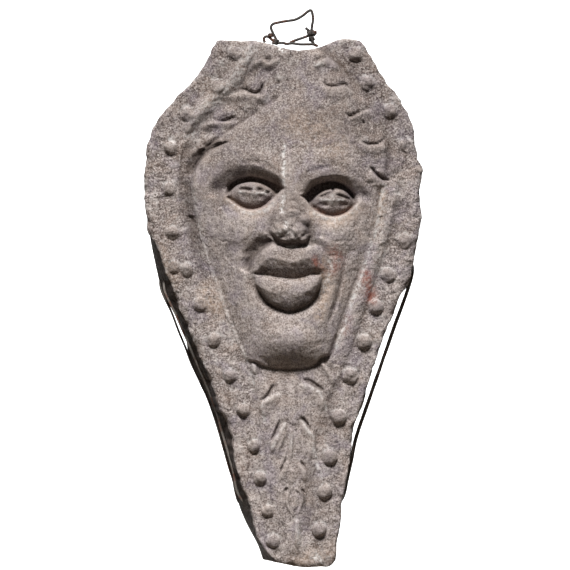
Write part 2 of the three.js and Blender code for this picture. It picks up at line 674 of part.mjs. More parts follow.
// A place on a flank, in millimetres, a wire's distance off it.
function offFlank(side, z, depth) {
  const flared = side < 0 ? flareAt(z) * ((depth - BACK_FALL) / (SLAB_DEPTH - BACK_FALL)) : 0;
  const x = valueAtHeight(side < 0 ? leftLine : rightLine, z) + flared;
  return new THREE.Vector3(x * share + side * wireOff, -depth, z * share);
}

// One side of a sling turn: down the back from the top, round the shoulder, and down the flank to the
// foot bore.
function slingSide(side, turn) {
  const { leaves, bears, top } = side < 0 ? SLING.left : SLING.right;
  const beside = (TURN_PARTING * turn * (WIRE_DIAMETER + JOINT_GAP)) / share;
  const start = leaves + beside;
  const flankDepth = outerTurnDepth + turn * TURN_SPACING;
  const shoulder = offFlank(side, start, BACK_FALL);
  const points = [];
  for (let i = 0; i <= BACK_STEPS; i++) {
    const t = i / BACK_STEPS;
    const x = mix(top + side * beside, shoulder.x / share - side * SHOULDER_ROUND, t);
    const z = mix(SLING_TOP, start + SHOULDER_ROUND, t);
    points.push(new THREE.Vector3(x * share, -backDepth(x, z) + wireOff, z * share));
  }
  points.push(shoulder.clone().add(new THREE.Vector3((side * wireOff) / 2, wireOff, 0)));
  for (const t of [0.25, 0.5, 0.75]) {
    const p = offFlank(side, start - RUN_IN * t, mix(BACK_FALL, flankDepth, t));
    points.push(p.add(new THREE.Vector3((side * wireOff) / 3, 0, 0)));
  }
  for (const z of [start - RUN_IN, ...bears]) points.push(offFlank(side, z, flankDepth));
  points.push(offFlank(side, FOOT_BORE_HEIGHT, inBoreDepth(turn)));
  return points;
}

// A wire along its points: straight between them, with every bend cut round.
function wireCurve(points, bend) {
  const path = new THREE.CurvePath();
  let from = points[0];
  for (let i = 1; i < points.length - 1; i++) {
    const [a, p, b] = [points[i - 1], points[i], points[i + 1]];
    const cut = Math.min(bend, a.distanceTo(p) / 2, b.distanceTo(p) / 2);
    const before = p.clone().add(a.clone().sub(p).setLength(cut));
    const after = p.clone().add(b.clone().sub(p).setLength(cut));
    path.add(new THREE.LineCurve3(from, before));
    path.add(new THREE.QuadraticBezierCurve3(before, p.clone(), after));
    from = after;
  }
  path.add(new THREE.LineCurve3(from, points.at(-1)));
  return path;
}

// A round wire as rings of points carried along its points, closed at both ends.
function wireGeometry(points, bend) {
  const path = wireCurve(points, bend);
  const places = [];
  for (const piece of path.curves) {
    const steps = piece.isLineCurve3 ? 1 : STEPS_IN_BEND;
    for (let i = 0; i < steps; i++) places.push(piece.getPoint(i / steps));
  }
  places.push(path.curves.at(-1).getPoint(1));
  return sweep(places.filter((p, i) => i === 0 || p.distanceTo(places[i - 1]) > 0.3));
}

// Rings of points square to the way through each place, with no twist from one to the next.
function sweep(places) {
  const positions = [];
  const faces = [];
  let across = new THREE.Vector3(0, 1, 0);
  places.forEach((p, i) => {
    const [before, after] = [places[Math.max(i - 1, 0)], places[Math.min(i + 1, places.length - 1)]];
    const ahead = after.clone().sub(before).normalize();
    across = across.clone().addScaledVector(ahead, -across.dot(ahead)).normalize();
    const up = ahead.clone().cross(across);
    for (let k = 0; k < WIRE_SIDES; k++) {
      const angle = (2 * Math.PI * k) / WIRE_SIDES;
      const v = p.clone().addScaledVector(across, wireRadius * Math.cos(angle));
      v.addScaledVector(up, wireRadius * Math.sin(angle));
      positions.push(v.x, v.y, v.z);
    }
  });
  for (let i = 1; i < places.length; i++) {
    for (let k = 0; k < WIRE_SIDES; k++) {
      const [a, b] = [(i - 1) * WIRE_SIDES, i * WIRE_SIDES];
      const n = (k + 1) % WIRE_SIDES;
      faces.push(a + k, b + n, b + k, a + k, a + n, b + n);
    }
  }
  const last = (places.length - 1) * WIRE_SIDES;
  for (let k = 1; k < WIRE_SIDES - 1; k++) {
    faces.push(0, k + 1, k);
    faces.push(last, last + k, last + k + 1);
  }
  return new THREE.BufferGeometry()
    .setAttribute("position", new THREE.BufferAttribute(new Float32Array(positions), 3))
    .setIndex(faces);
}

// A turn of the sling, from its left end to its right end by way of the bore.
function slingTurn(turn) {
  return wireGeometry([...slingSide(-1, turn), ...slingSide(1, turn).reverse()], SLING_BEND);
}

// The bore through the foot that both turns of the sling pass through.
function footBore() {
  const radius = WIRE_DIAMETER + JOINT_GAP / 2 + BORE_CLEARANCE;
  const tool = new THREE.CylinderGeometry(radius, radius, MEAN_WIDTH, BORE_SIDES);
  tool.rotateZ(Math.PI / 2).translate(0, -boreDepth, FOOT_BORE_HEIGHT * share);
  return solidOf(tool);
}

function stoneGeometry() {
  const { positions, faces } = stoneBlock();
  const block = new THREE.BufferGeometry().setAttribute("position", new THREE.BufferAttribute(positions, 3));
  block.setIndex(new THREE.BufferAttribute(faces, 1));
  return geometryOf(solidOf(block).subtract(footBore()));
}

// The bail stands over the back of the stone's top, in line with the ends of the sling.
function bailPlace([x, z]) {
  const above = ((z - BAIL_FOOT) / (BAIL_PEAK - BAIL_FOOT)) * BAIL_RISE;
  const up = z > BAIL_FOOT ? BAIL_FOOT * share + above : z * share;
  return new THREE.Vector3(x * share, -(BACK_FALL - wireOff), up);
}

function bailGeometry() {
  const wire = (points) => solidOf(wireGeometry(points.map(bailPlace), BAIL_BEND));
  const coil = (place) => {
    const at = bailPlace(place);
    const ring = new THREE.TorusGeometry(0.9 * WIRE_DIAMETER, wireRadius, 6, 9).rotateX(Math.PI / 2);
    return solidOf(ring.translate(at.x, at.y, at.z));
  };
  const wires = [BAIL_LOOP, BAIL_STRAND, BAIL_CROSSING].map(wire);
  return geometryOf([...wires, ...BAIL_COILS.map(coil)].reduce((a, b) => a.add(b)));
}

const stoneMaterial = new THREE.MeshStandardMaterial({ color: 0x7d7672, roughness: 0.94, metalness: 0 });
const wireMaterial = new THREE.MeshStandardMaterial({ color: 0x4a4441, roughness: 0.55, metalness: 0.9 });

function named(name, geometry, material) {
  const mesh = new THREE.Mesh(geometry, material.clone());
  mesh.name = name;
  return mesh;
}

const mask = new THREE.Group();
mask.add(named("stone_mask", stoneGeometry(), stoneMaterial));
mask.add(named("sling_wire_outer", slingTurn(0), wireMaterial));
mask.add(named("sling_wire_inner", slingTurn(1), wireMaterial));
mask.add(named("hanging_bail", bailGeometry(), wireMaterial));

export default mask;
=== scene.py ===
"""A green man mask: a leafy head carved in relief in coarse dark stone, hung in iron wire.

Places on the carving are in pixels of the photograph, across and down, and rises are in millimetres in front of the
studded border. Everything is turned to metres where a mesh is made: +Z up, the carved front facing -Y.
"""

import bpy
import numpy as np
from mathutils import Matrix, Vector


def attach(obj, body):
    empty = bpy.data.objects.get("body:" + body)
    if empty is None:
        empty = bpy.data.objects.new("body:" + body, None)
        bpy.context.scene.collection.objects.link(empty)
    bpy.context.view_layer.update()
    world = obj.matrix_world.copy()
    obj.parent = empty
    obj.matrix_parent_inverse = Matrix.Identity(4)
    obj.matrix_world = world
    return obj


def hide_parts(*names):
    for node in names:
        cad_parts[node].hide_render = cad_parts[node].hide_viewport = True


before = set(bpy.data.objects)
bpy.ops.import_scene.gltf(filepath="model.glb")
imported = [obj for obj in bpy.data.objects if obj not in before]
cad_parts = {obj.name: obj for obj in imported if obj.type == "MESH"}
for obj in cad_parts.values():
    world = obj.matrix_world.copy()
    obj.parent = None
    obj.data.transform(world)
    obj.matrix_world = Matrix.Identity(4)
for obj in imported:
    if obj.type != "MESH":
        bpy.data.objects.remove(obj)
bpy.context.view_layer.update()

# The stone's sizes
STONE_HEIGHT = 0.600
PX = STONE_HEIGHT / 528  # metres to a pixel
MM = 0.001
MIDDLE = (283.0, 285.0)  # the frame's origin, on the wall behind the stone
SLAB_DEPTH = 60.0  # millimetres from the wall to the border
BACK_FALL = 14.0
PAD_MIDDLE = (283.0, 298.2)
PAD_REACH = (48.4, 127.6)

# The camera's distance from the border, and the middle of its picture
CAMERA_DISTANCE = 2.6
PICTURE_MIDDLE = (285.0, 285.0)

# How strongly the studio's walls light the stone
AMBIENT = 0.036

# How finely the stone is worked out: columns and rows of the front, rows of the flank, rings of the back
COLUMNS = 196
ROWS = 416
FLANK_ROWS = 12
FACE_ROW = 0.38
CROWDING = 0.035
BACK_RINGS = 7

# The wires' sizes, in metres
WIRE_DIAMETER = 0.0027
WIRE_OFF = WIRE_DIAMETER / 2 + 0.001
TURN_SPACING = 0.020
JOINT_GAP = 0.0004

# The outline: the left side at the back and at the front, the right side, the top and the foot
BACK_LEFT = [
    (218, 42), (215, 50), (211, 58), (206, 66), (201, 74), (193, 85), (180, 97), (169, 109), (160, 121), (154, 133),
    (150, 145), (148, 160), (146, 180), (148, 204), (149, 228), (151, 243), (155, 262), (159, 281), (165, 299),
    (173.5, 312), (179, 324), (184.5, 334), (186.5, 342), (187.5, 350), (190, 360), (195, 372), (200.6, 384),
    (206, 396), (210.4, 408), (214.4, 420), (218.4, 432), (221.8, 444), (225, 456), (228.3, 468), (231.8, 480),
    (234.3, 492), (238, 504), (244, 520), (250, 533), (256, 544), (260, 553), (263, 562),
]
FRONT_LEFT = [
    (216, 40), (213, 48), (208, 57), (204, 65), (199, 72), (190, 84), (177, 96), (166, 108), (157, 120), (151, 132),
    (147, 145), (145, 160), (143, 180), (145, 204), (148, 226), (156, 243), (163, 260), (168, 274), (172, 288),
    (177, 299), (181, 312), (188, 327), (194, 340), (202, 360), (209, 377), (214, 392), (221, 409), (227, 422),
    (231, 436), (233, 448), (236, 465), (240, 480), (247, 495), (252, 512), (254.5, 526), (257, 536), (262.5, 545.5),
    (268.5, 553), (276, 561),
]
RIGHT_SIDE = [
    (363, 42), (366, 48), (370, 56), (380, 72), (388, 85), (397, 95), (405, 108), (412, 121), (414, 132), (415, 145),
    (418, 156), (422, 168), (420, 180), (420, 204), (421, 216), (419, 234), (415, 252), (412, 270), (408, 285),
    (399, 299), (394, 312), (389, 324), (384, 336), (379, 350), (374, 366), (369, 384), (363, 402), (357, 420),
    (353, 434), (350, 452), (349, 468), (345, 486), (342, 504), (341, 524), (337, 541), (336, 552), (335, 561),
]
TOP_EDGE = [
    (216, 40), (225, 40), (251, 41), (263, 43), (272, 45), (283, 48), (291, 50), (300, 51), (312, 49), (324, 45),
    (336, 41), (347, 39), (359, 40), (363, 42),
]
FOOT_EDGE = [(264, 564), (276, 563), (292, 566), (315, 567), (329, 567), (335, 561)]

# The bosses: place, radius, rise
LEFT_BOSSES = [
    (235, 53, 7.2, 6), (217, 86, 7.2, 5), (187, 114, 7.4, 6), (171, 148, 7.2, 6), (169, 189, 6.6, 5),
    (285, 54, 6.5, 3.5), (173, 233, 7.2, 5.5), (187, 270, 7.0, 6), (174, 267, 6.2, 4), (200, 304, 7.2, 6.5), (214, 340, 7.2, 6.5),
    (230, 376, 7.0, 6.5), (243, 410, 6.8, 7), (254, 446, 6.6, 7), (260, 478, 7.0, 6.5), (268, 511, 6.6, 6),
    (273, 541, 7.2, 6),
]
RIGHT_BOSSES = [
    (355, 54, 8.0, 5.5), (367, 83, 7.4, 6), (390, 111, 7.6, 6), (406, 145, 7.0, 5), (398, 200, 6.6, 2.5),
    (404, 241, 7.6, 6), (388, 275, 7.6, 6.5), (376, 307, 7.8, 7), (364, 342, 8.0, 7.5), (350, 376, 8.2, 7.5),
    (339, 417, 8.2, 8), (330, 457, 8.0, 8), (325, 492, 8.0, 7.5), (319, 530, 7.8, 7.5),
]

# The head: two swells, each with a left and a right side. Their profiles are (rise, down): along the middle, and of the
# wall at each side; a side's fullness is (power, down), smaller for a fuller swell. The edges are how far in pixels a
# wall takes to rise.
HAIR = {
    "left": [
        (257, 37), (254, 53), (250, 66), (243, 83), (235, 93), (221, 105), (206, 120), (197, 135), (191, 156),
        (190, 185), (193, 216),
    ],
    "right": [(323, 37), (334, 57), (352, 84), (374, 106), (388, 134), (395, 170), (394, 192), (389, 216)],
    "middle": [(8, 37), (11, 50), (14, 62), (17, 79), (17.5, 100), (17, 127), (16, 158), (13, 185), (5, 216)],
    "left_wall": [(1, 37), (2, 60), (3, 90), (4, 120), (4, 160), (3, 216)],
    "right_wall": [(0, 37), (0, 100), (1.5, 140), (4, 180), (5, 216)],
    "left_fullness": [(1.2, 37), (1.5, 90), (1.9, 130), (2.2, 216)],
    "right_fullness": [(1.6, 37), (1.5, 100), (1.1, 150), (0.9, 216)],
    "edges": (9.0, 20),
}
FACE = {
    "left": [
        (300, 44), (296, 62), (290, 80), (281, 97), (266, 107.5), (251, 118), (232, 131), (211, 148), (199, 165),
        (194, 185), (197, 213), (203, 240), (210, 264), (219, 288), (226, 310), (234, 329), (241, 346), (248, 362),
        (252, 377),
    ],
    "right": [
        (318, 44), (340, 62), (360, 86), (378, 108), (389, 134), (391, 161), (387, 186), (380, 225), (371, 254),
        (358, 288), (343, 331), (336, 350), (330, 377),
    ],
    "middle": [
        (8, 44), (14, 62), (18.5, 80), (22.5, 98), (26.5, 118), (29.5, 145), (31, 168), (31, 185), (31, 205),
        (31, 230), (30, 250), (28.5, 275), (28, 300), (28.5, 320), (29, 333), (28, 341), (25.5, 348), (21, 355),
        (14, 362), (7, 369), (5, 377),
    ],
    "left_wall": [
        (8, 44), (14, 62), (17.5, 80), (18, 97), (17, 115), (16, 132), (15, 150), (12, 168), (10, 200), (6, 228),
        (2, 248), (-0.5, 266), (-1.5, 290), (-2, 320), (-1, 345), (2, 362), (3, 377),
    ],
    "right_wall": [(0, 44), (0, 100), (1.5, 134), (2.5, 165), (2, 190), (1.5, 230), (1.5, 300), (2, 350), (2, 377)],
    "left_fullness": [
        (0.8, 44), (0.8, 180), (1.0, 215), (1.1, 250), (1.2, 290), (1.2, 320), (1.1, 340), (0.8, 358), (0.7, 377),
    ],
    "right_fullness": [(2.2, 44), (2.0, 90), (1.4, 125), (1.0, 155), (0.9, 200), (1.0, 240), (1.2, 290), (1.2, 330), (0.8, 377)],
    "edges": (6.5, 8),
}
CHIN_EDGE = [
    (236, 357), (249, 360.5), (257, 362), (262, 364.5), (268, 366.8), (280, 368), (300, 368), (310, 366), (316, 362.5),
    (321, 357), (329, 355), (346, 354),
]

# Eyes: the brow's soft edge, the upper and the lower edge of the opening, and the eyeball's top
EYES = [
    {
        "brow": [(204, 193), (209, 183), (219, 173), (233, 166), (248, 164.5), (262, 167.5), (277, 175.5), (287, 185)],
        "upper": [(204, 197), (212, 196), (220, 193), (228, 185), (238, 178.5), (251, 176), (262, 178), (271, 181.5),
                  (287, 189)],
        "lower": [(204, 199), (214, 199), (222, 198), (228, 199), (234, 203), (242, 208), (251, 210.5), (261, 208.5),
                  (268, 203.5), (282, 191)],
        "ball": [(224, 197), (228, 194), (235, 187), (242, 183.5), (252, 182), (262, 184), (271, 189), (277, 195)],
        "reach": (225, 284),
        "slits": [[(239, 189.5), (246, 190), (254, 191)], [(256, 190.3), (265, 191)], [(265, 194.3), (270, 192.3)]],
        "bars": [[(238, 191.8), (246, 192.8), (254, 194)], [(256, 193.5), (267, 194.5)], [(240, 186), (252, 184), (264, 187)]],
        "hollows": [[(240, 197), (251, 199)], [(258, 198), (267, 198)]],
        "boss": ((255, 194), (2.8, 5)),
        "cuts": (2.3, 3.6, 0.7),
    },
    {
        "brow": [(299, 190), (305, 185), (313, 180), (326, 176.5), (338, 175.5), (350, 178.5), (360, 185), (367, 191),
                 (374, 199)],
        "upper": [(297, 196), (304, 195), (308, 191), (313, 186), (320, 183), (330, 181), (340, 182.5), (348, 187.5),
                  (354, 194), (361, 201), (374, 205)],
        "lower": [(297, 196), (304, 199), (308, 203.5), (312, 208), (317, 212), (324, 215.5), (332, 217), (341, 215.7),
                  (348, 212), (353, 207), (360, 203), (374, 206)],
        "ball": [(308, 204), (312, 201), (316, 196), (323, 191), (332, 188.3), (340, 188.5), (347, 192), (352, 198),
                 (356, 203)],
        "reach": (301, 357),
        "slits": [[(319, 197.5), (325, 195.6), (331, 193)], [(333, 188.5), (332, 194)], [(336, 195), (343, 197), (351, 200.5)]],
        "bars": [[(318, 199.5), (326, 200.2), (333, 200.8), (345, 200.6)], [(334, 192), (344, 194)]],
        "hollows": [[(318, 204.5), (328, 206)], [(338, 206), (348, 204.5)]],
        "boss": ((332.5, 202), (3.8, 5)),
        "cuts": (1.5, 3.2, 2.4),
    },
]
SOCKET_DEPTH = 20.0
BROW_FALL = 9.5
BALL_RISE = 14.0

# The lips: the upper edge, the crest and the lower edge of each
UPPER_LIP = {
    "top": [(250, 272), (251, 267), (254.5, 260), (260, 253), (266.5, 247.5), (273, 244), (280, 246.5), (287, 248.5),
            (293, 249.3), (302, 247), (311, 246), (318, 247.5), (324, 254), (328, 260.5), (330, 267), (331, 272)],
    "crest": [(250, 272.5), (256, 271), (260, 267), (264, 261.5), (270, 258.5), (284, 260.5), (293, 262), (302, 259.5),
              (310, 259), (313, 263), (318, 268), (331, 272.7)],
    "foot": [(250, 273), (257, 273.5), (268, 275), (282, 277), (293, 278), (302, 276.5), (311, 274), (320, 273),
             (331, 273)],
    "roundness": (3.0, 0.75, 0.45),
    "fade": (12, 26),
}
LOWER_LIP = {
    "top": [(254.5, 274.5), (262, 275.3), (270, 276.2), (282, 278.2), (293, 279.2), (302, 278), (311, 275.5), (322, 275)],
    "crest": [(254.5, 281), (258, 285), (262, 287.5), (273, 292), (288, 294.5), (302, 293), (313, 287), (318, 283.5),
              (322, 280)],
    "foot": [(254.5, 283), (256.5, 287), (259.5, 292), (265.5, 300.5), (272, 305), (279, 308), (288, 310.8),
             (302, 307.3), (311, 301.7), (316.5, 294), (320, 286), (322, 281)],
    "roundness": (3.6, 0.66, 0.0),
    "fade": (3, 4),
}

# The lobes of the broken nose: middle, reach, height
NOSE_LOBES = [
    ((290, 228), (19, 18), 9.0), ((290, 235), (18, 11.5), 10.5), ((303, 223), (7, 8), 9.5), ((282, 231), (12, 10), 12.0),
    ((292, 226), (11, 12), 12.0), ((298, 232), (11, 13), 13.5), ((304, 239), (6, 7), 11.5),
]
NOSE_FOOT = [(268, 231), (273, 238), (278, 242.5), (286, 245.5), (297, 246.5), (305, 244.5), (309, 239), (312, 231)]

# Ridges: line, width above it, width below it, and rise. Above is also right of a line that runs down.
FACE_RIDGES = [
    ([(212, 176), (226, 163), (246, 158), (266, 161), (284, 174)], 15, 6, 1.4),  # left brow
    ([(300, 176), (314, 165), (334, 161), (352, 167), (370, 184)], 15, 6, 1.4),  # right brow
    ([(290, 150), (291, 175), (292, 200), (292, 218)], 15, 15, 5.0),  # bridge
    ([(249, 273), (249, 266), (252.5, 258), (258.5, 251), (265.5, 245.5), (273, 241.5)], 13, 2.5, -8.5),  # left fold
    ([(310, 243.5), (318, 245), (325, 251), (330, 259)], 7, 2, -2.0),  # right fold
    ([(254, 277), (256, 285), (260, 292.5), (266, 300.5), (272, 305.5), (279, 308.5), (288, 311), (302, 307.8),
      (312, 302), (317.5, 294), (321.5, 285), (323.5, 276)], 2.5, 10, -2.6),  # under the lip
    ([(334, 258), (334, 282), (328, 306), (318, 326)], 9, 9, 1.5),  # right of the mouth
]
FACE_HOLLOWS = [
    ([(357, 224), (351, 242), (346, 262)], 12, 1.5),
    ([(238, 243), (230, 262), (233, 290)], 12, 1.5),
    ([(262, 236), (250, 244), (242, 256)], 10, 2.0),
]
CHEEKS = [((236, 228), (34, 26), 3.0), ((341, 235), (28, 24), 3.5), ((288, 338), (38, 20), 2.5)]

# The border and the bands round the head
ROLL = [(250, 42), (244, 58), (237, 71), (229, 83), (217, 95), (204, 107), (194, 119), (186, 133)]
BORDER_RIDGES = [
    (ROLL, 13, 11, 6.5),
    ([(337, 364), (339, 386)], 7, 7, 3.0),
    ([(176, 140), (172, 190), (177, 240), (190, 290), (212, 345), (240, 415)], 14, 14, 1.5),
    ([(411, 150), (412, 200), (404, 262), (382, 322)], 10, 10, 2.0),
    ([(201, 236), (209, 264), (218, 288), (225, 310), (233, 329), (240, 346), (247, 361)], 3.5, 1.8, 2.0),
    ([(229, 309), (236, 326), (242, 342)], 2.5, 1.5, 0.9),
    ([(253, 362), (255, 374)], 4, 4, 3.0),
    ([(321, 362), (329, 374), (334, 386)], 4, 4, 3.0),
    ([(417, 166), (422, 173)], 4, 4, 3.0),
]
RIGHT_BAND = [(390, 178), (388, 200), (383, 225), (377, 245), (370, 266), (363, 288), (355, 310), (348, 331), (341, 351), (335, 368)]
BORDER_HOLLOWS = [
    ([(254, 56), (251, 66), (246, 79), (238, 89), (230, 97), (212, 113), (200, 126), (193, 140), (188, 158)], 6, 2.2),
    ([(214, 112), (202, 124), (194, 138), (190, 152), (187, 170)], 9, 2.6),
    ([(186, 176), (192, 164), (198, 156), (206, 149)], 6.5, 6.0),
    ([(190, 140), (185, 156), (183, 180), (185, 205), (190, 230), (197, 258), (207, 290)], 9, 3.5),
    ([(402, 178), (397, 215), (388, 245), (382, 263), (369, 300), (355, 340), (344, 372), (330, 402)], 11, 1.4),
    ([(344, 372), (332, 400), (322, 440), (313, 480), (310, 510), (307, 540)], 9, 2.2),
    ([(343, 262), (341, 280), (335, 304), (328, 324)], 4.0, 2.6),
    ([(250, 370), (254, 392), (260, 430), (268, 470)], 4, 1.5),
    ([(409, 202), (407, 210), (405, 218)], 1.6, 2.5),
    ([(404, 138), (407, 144), (406, 151)], 4, 4.0),
]

# Leaf locks: a drilled slit, and the lip of the leaf that lies under it
LEFT_LOCKS = [
    {"slit": [(263, 57), (267, 59.5), (272, 60)], "cut": (1.6, 3.0),
     "lip": [(249, 71), (253, 65), (258, 61.8), (263, 61.5), (268, 65), (274, 62), (280, 60)], "leaf": (5.5, 8)},
    {"slit": [(240, 89), (245, 89), (250, 92), (257, 93), (261, 90), (263, 85)], "cut": (2.0, 5.5),
     "lip": [(228, 98), (236, 94.5), (245, 93.5), (253, 96.5), (261, 97), (267, 93)], "leaf": (5.0, 13)},
    {"slit": [(219, 121), (225, 121), (231, 118.5), (237, 116.5)], "cut": (1.6, 3.2),
     "lip": [(200, 127), (211, 123.5), (224, 124), (241, 122)], "leaf": (5.0, 12)},
    {"slit": [(191, 176), (195, 168), (200, 160), (207, 153), (217, 146.5), (230, 142.5)], "cut": (2.6, 6.5)},
]
RIGHT_LOCKS = [
    {"slit": [(313, 62), (320, 59), (327, 57)], "cut": (1.6, 2.6),
     "lip": [(314, 68), (321, 62.5), (329, 61), (336, 66), (340, 72)], "leaf": (4.5, 9)},
    {"slit": [(323, 83.5), (328, 87), (337, 87), (345, 84.5), (350, 88)], "cut": (1.6, 3.2),
     "lip": [(322, 89), (332, 90.5), (343, 89), (354, 93)], "leaf": (3.0, 15)},
    {"slit": [(346, 114), (350, 117.5), (355, 114.5), (361, 112), (370, 107)], "cut": (1.7, 3.6),
     "lip": [(349, 120), (357, 116.5), (363, 113), (369, 112), (375, 118)], "leaf": (3.0, 9)},
    {"slit": [(361, 142), (368, 144.6), (378, 143.6), (387, 137)], "cut": (1.3, 2.6),
     "lip": [(360, 145), (370, 148.5), (386, 146)], "leaf": (2.6, 9)},
    {"slit": [(370, 167), (376, 174), (383, 179), (391, 180)], "cut": (1.8, 4.0),
     "lip": [(370, 171), (376, 179.5), (384, 185.5)], "leaf": (3.5, 10)},
]
LOBES = [
    ([(238, 111), (226, 112), (212, 117)], 8, 7, 2.2),
    ([(236, 107), (250, 107), (262, 109)], 8, 7, 2.4),
    ([(205, 145), (214, 137), (232, 132)], 8, 6, 4.5),
    ([(244, 84), (254, 81), (266, 82)], 8, 6, 1.8),
    ([(326, 79), (338, 78), (350, 82)], 8, 6, 1.2),
    ([(345, 107), (356, 102), (368, 101)], 8, 6, 1.4),
    ([(376, 166), (384, 173), (392, 173)], 7, 6, 1.5),
]

# The beard, with the same parts, and its leaf blades
BEARD_LOCKS = [
    {"slit": [(274, 384), (271, 389), (268.5, 394), (264, 398.5), (259.5, 399.5)], "cut": (1.7, 3.6),
     "lip": [(264, 417), (261.5, 408), (265, 402), (272, 397), (280, 393)], "leaf": (3.4, 13)},
    {"slit": [(303, 379.5), (309, 381), (317, 386), (325, 391)], "cut": (2.6, 2.8),
     "lip": [(301, 384), (310, 386.5), (318, 393), (322.5, 401), (323, 410)], "leaf": (2.8, 12)},
    {"slit": [(280, 419.5), (277.5, 427), (274, 435), (271, 440)], "cut": (1.5, 3.6),
     "lip": [(271, 453), (272.5, 443), (280, 433), (285.5, 421)], "leaf": (3.2, 11)},
    {"slit": [(299, 417.5), (303.5, 419), (307.5, 425), (312, 432)], "cut": (1.8, 3.6),
     "lip": [(301, 422), (308, 428.5), (313, 437), (314, 450), (320, 472)], "leaf": (2.8, 10)},
    {"slit": [(286, 458), (283, 466), (280, 471)], "cut": (1.6, 2.6), "lip": [(279, 481), (283, 471), (287, 461)],
     "leaf": (2.6, 7)},
    {"slit": [(300, 461), (304, 466), (307, 471)], "cut": (1.6, 2.2), "lip": [(298, 463), (304, 471), (306, 481)],
     "leaf": (2.6, 7)},
    {"slit": [(284.5, 491), (288, 487.5)], "cut": (1.6, 3.0)},
    {"slit": [(301, 489), (305, 493)], "cut": (1.6, 2.6)},
]
BEARD_RIDGES = [
    ([(293, 372), (293, 400), (294, 425)], 8, 8, 1.5),
    ([(292, 428), (291.5, 445), (290, 462)], 2.8, 2.8, 2.6),
    ([(285, 434), (280, 446), (275, 456)], 3, 3, 2.0),
    ([(287, 446), (284, 457), (281, 468)], 3, 3, 2.0),
    ([(298, 430), (302, 444), (306, 458)], 3.5, 3.5, 2.2),
    ([(296, 440), (299, 452)], 2.8, 2.8, 1.6),
    ([(291, 466), (292, 484)], 4, 4, 1.8),
    ([(293, 487), (287.5, 494), (287.5, 505), (294, 516)], 2.6, 2.6, 2.4),
    ([(293, 487), (301, 492), (302.5, 501), (297, 516)], 2.6, 2.6, 2.4),
    ([(294, 492), (295, 500), (295, 510)], 6, 6, 1.8),
    ([(297, 518), (297.5, 532), (297, 548)], 4.8, 4.8, 3.4),
    ([(281, 484), (280, 500), (284, 520)], 5, 5, 1.4),
]
BEARD_SIDES = {
    "left": [(248, 364), (254, 392), (260, 420), (266, 460), (272, 500), (282, 548)],
    "right": [(334, 364), (330, 392), (320, 430), (312, 470), (306, 510), (303, 552)],
}

# Marks on the stone: line, half width, strength
# A few limy runs; most strokes are painted highlights on the roll band, rib and face edges, lid rims, pupil bars, lips
# and leaves
LIME_AND_HIGHLIGHTS = [
    ([(284.5, 147), (283.5, 156), (284.5, 164), (283.5, 172), (284, 186)], 1.3, 0.8), ([(284, 170), (283, 181)], 2.3, 0.9),
    ([(283, 198), (282, 206), (282, 213)], 1.9, 1.0), ([(286, 224), (286, 233)], 2.0, 0.8),
    ([(280, 49), (283, 51)], 3.0, 0.9), ([(314, 556), (320, 560)], 4.0, 0.7), ([(171, 139), (173, 142)], 3.0, 0.6),
    ([(252, 50), (243, 66), (235, 80), (222, 94), (207, 108), (196, 122), (190, 134)], 6.5, 0.36),
    ([(383, 186), (377, 225), (371, 243), (364, 266), (357, 288), (349, 309), (342, 331), (335, 350)], 1.8, 0.62),
    ([(383, 212), (381, 250), (374, 285)], 7.0, 0.22),
    ([(194, 184), (197, 215), (203, 240), (210.5, 264.5), (219, 288), (226, 311), (233.5, 328), (241, 346), (248, 362)],
     1.5, 0.32),
    ([(328, 261), (331.5, 269), (328, 277), (324.5, 286), (320, 295)], 1.8, 0.5), ([(286, 247.5), (310, 246.5)], 1.5, 0.4),
    ([(228, 201), (243, 211.5), (253, 214), (266, 211), (275, 203)], 1.6, 0.5), ([(314, 214), (332, 221), (350, 214), (357, 207)], 1.8, 0.5),
    ([(240, 192.6), (247, 193.4), (254, 194.6), (266, 193.6)], 1.5, 0.45), ([(255, 189), (255, 198)], 1.8, 0.45),
    ([(321, 200), (328, 200.6), (336, 200.8), (343, 200.6)], 1.5, 0.4), ([(332.5, 197), (332.5, 205)], 2.1, 0.4),
    ([(280, 393), (270, 398), (263, 403), (262.5, 412), (265, 422)], 1.6, 0.5), ([(252, 366), (253, 388)], 3.0, 0.45),
    ([(300, 385), (310, 387), (320, 393), (323, 400), (326, 410)], 1.6, 0.5), ([(285, 423), (278, 435), (272, 448)], 1.5, 0.45),
    ([(302, 422), (308, 430), (312.5, 437), (314, 450), (318, 468), (321, 477)], 1.6, 0.55), ([(291, 433), (291, 448)], 1.8, 0.45),
    ([(297, 519), (300, 547)], 2.8, 0.4),
    ([(279, 232), (281, 236)], 2.2, 0.6), ([(316, 66), (322, 64)], 2.0, 0.5), ([(384, 186), (381, 214)], 2.0, 0.35),
]
RUST = [
    ([(314, 260), (316, 265)], 3.5, 0.9), ([(333, 250), (338, 260), (334, 270)], 6.0, 0.6), ([(316, 268), (325, 272)], 4.0, 0.25), ([(366, 276), (371, 298)], 6.0, 0.95),
    ([(350, 318), (346, 332)], 4.0, 0.3), ([(320, 266), (324, 272)], 3.0, 0.4),
    ([(232, 203), (243, 208.5), (253, 210), (264, 207.5), (270, 203)], 1.8, 0.15),
    ([(314, 208), (325, 214), (332, 215.5), (341, 214), (350, 208)], 1.8, 0.3),
]
OCHRE = [
    ([(297, 124), (316, 134), (334, 146)], 16.0, 0.30), ([(206, 292), (216, 308)], 9.0, 0.5),
    ([(322, 262), (328, 290), (318, 316)], 6.0, 0.6), ([(228, 200), (252, 216), (276, 205)], 5.0, 0.4),
    ([(312, 214), (334, 224), (356, 210)], 6.0, 0.5), ([(384, 190), (379, 222)], 4.0, 0.5),
    ([(160, 250), (172, 280)], 8.0, 0.35), ([(330, 552), (300, 560)], 8.0, 0.4),
]
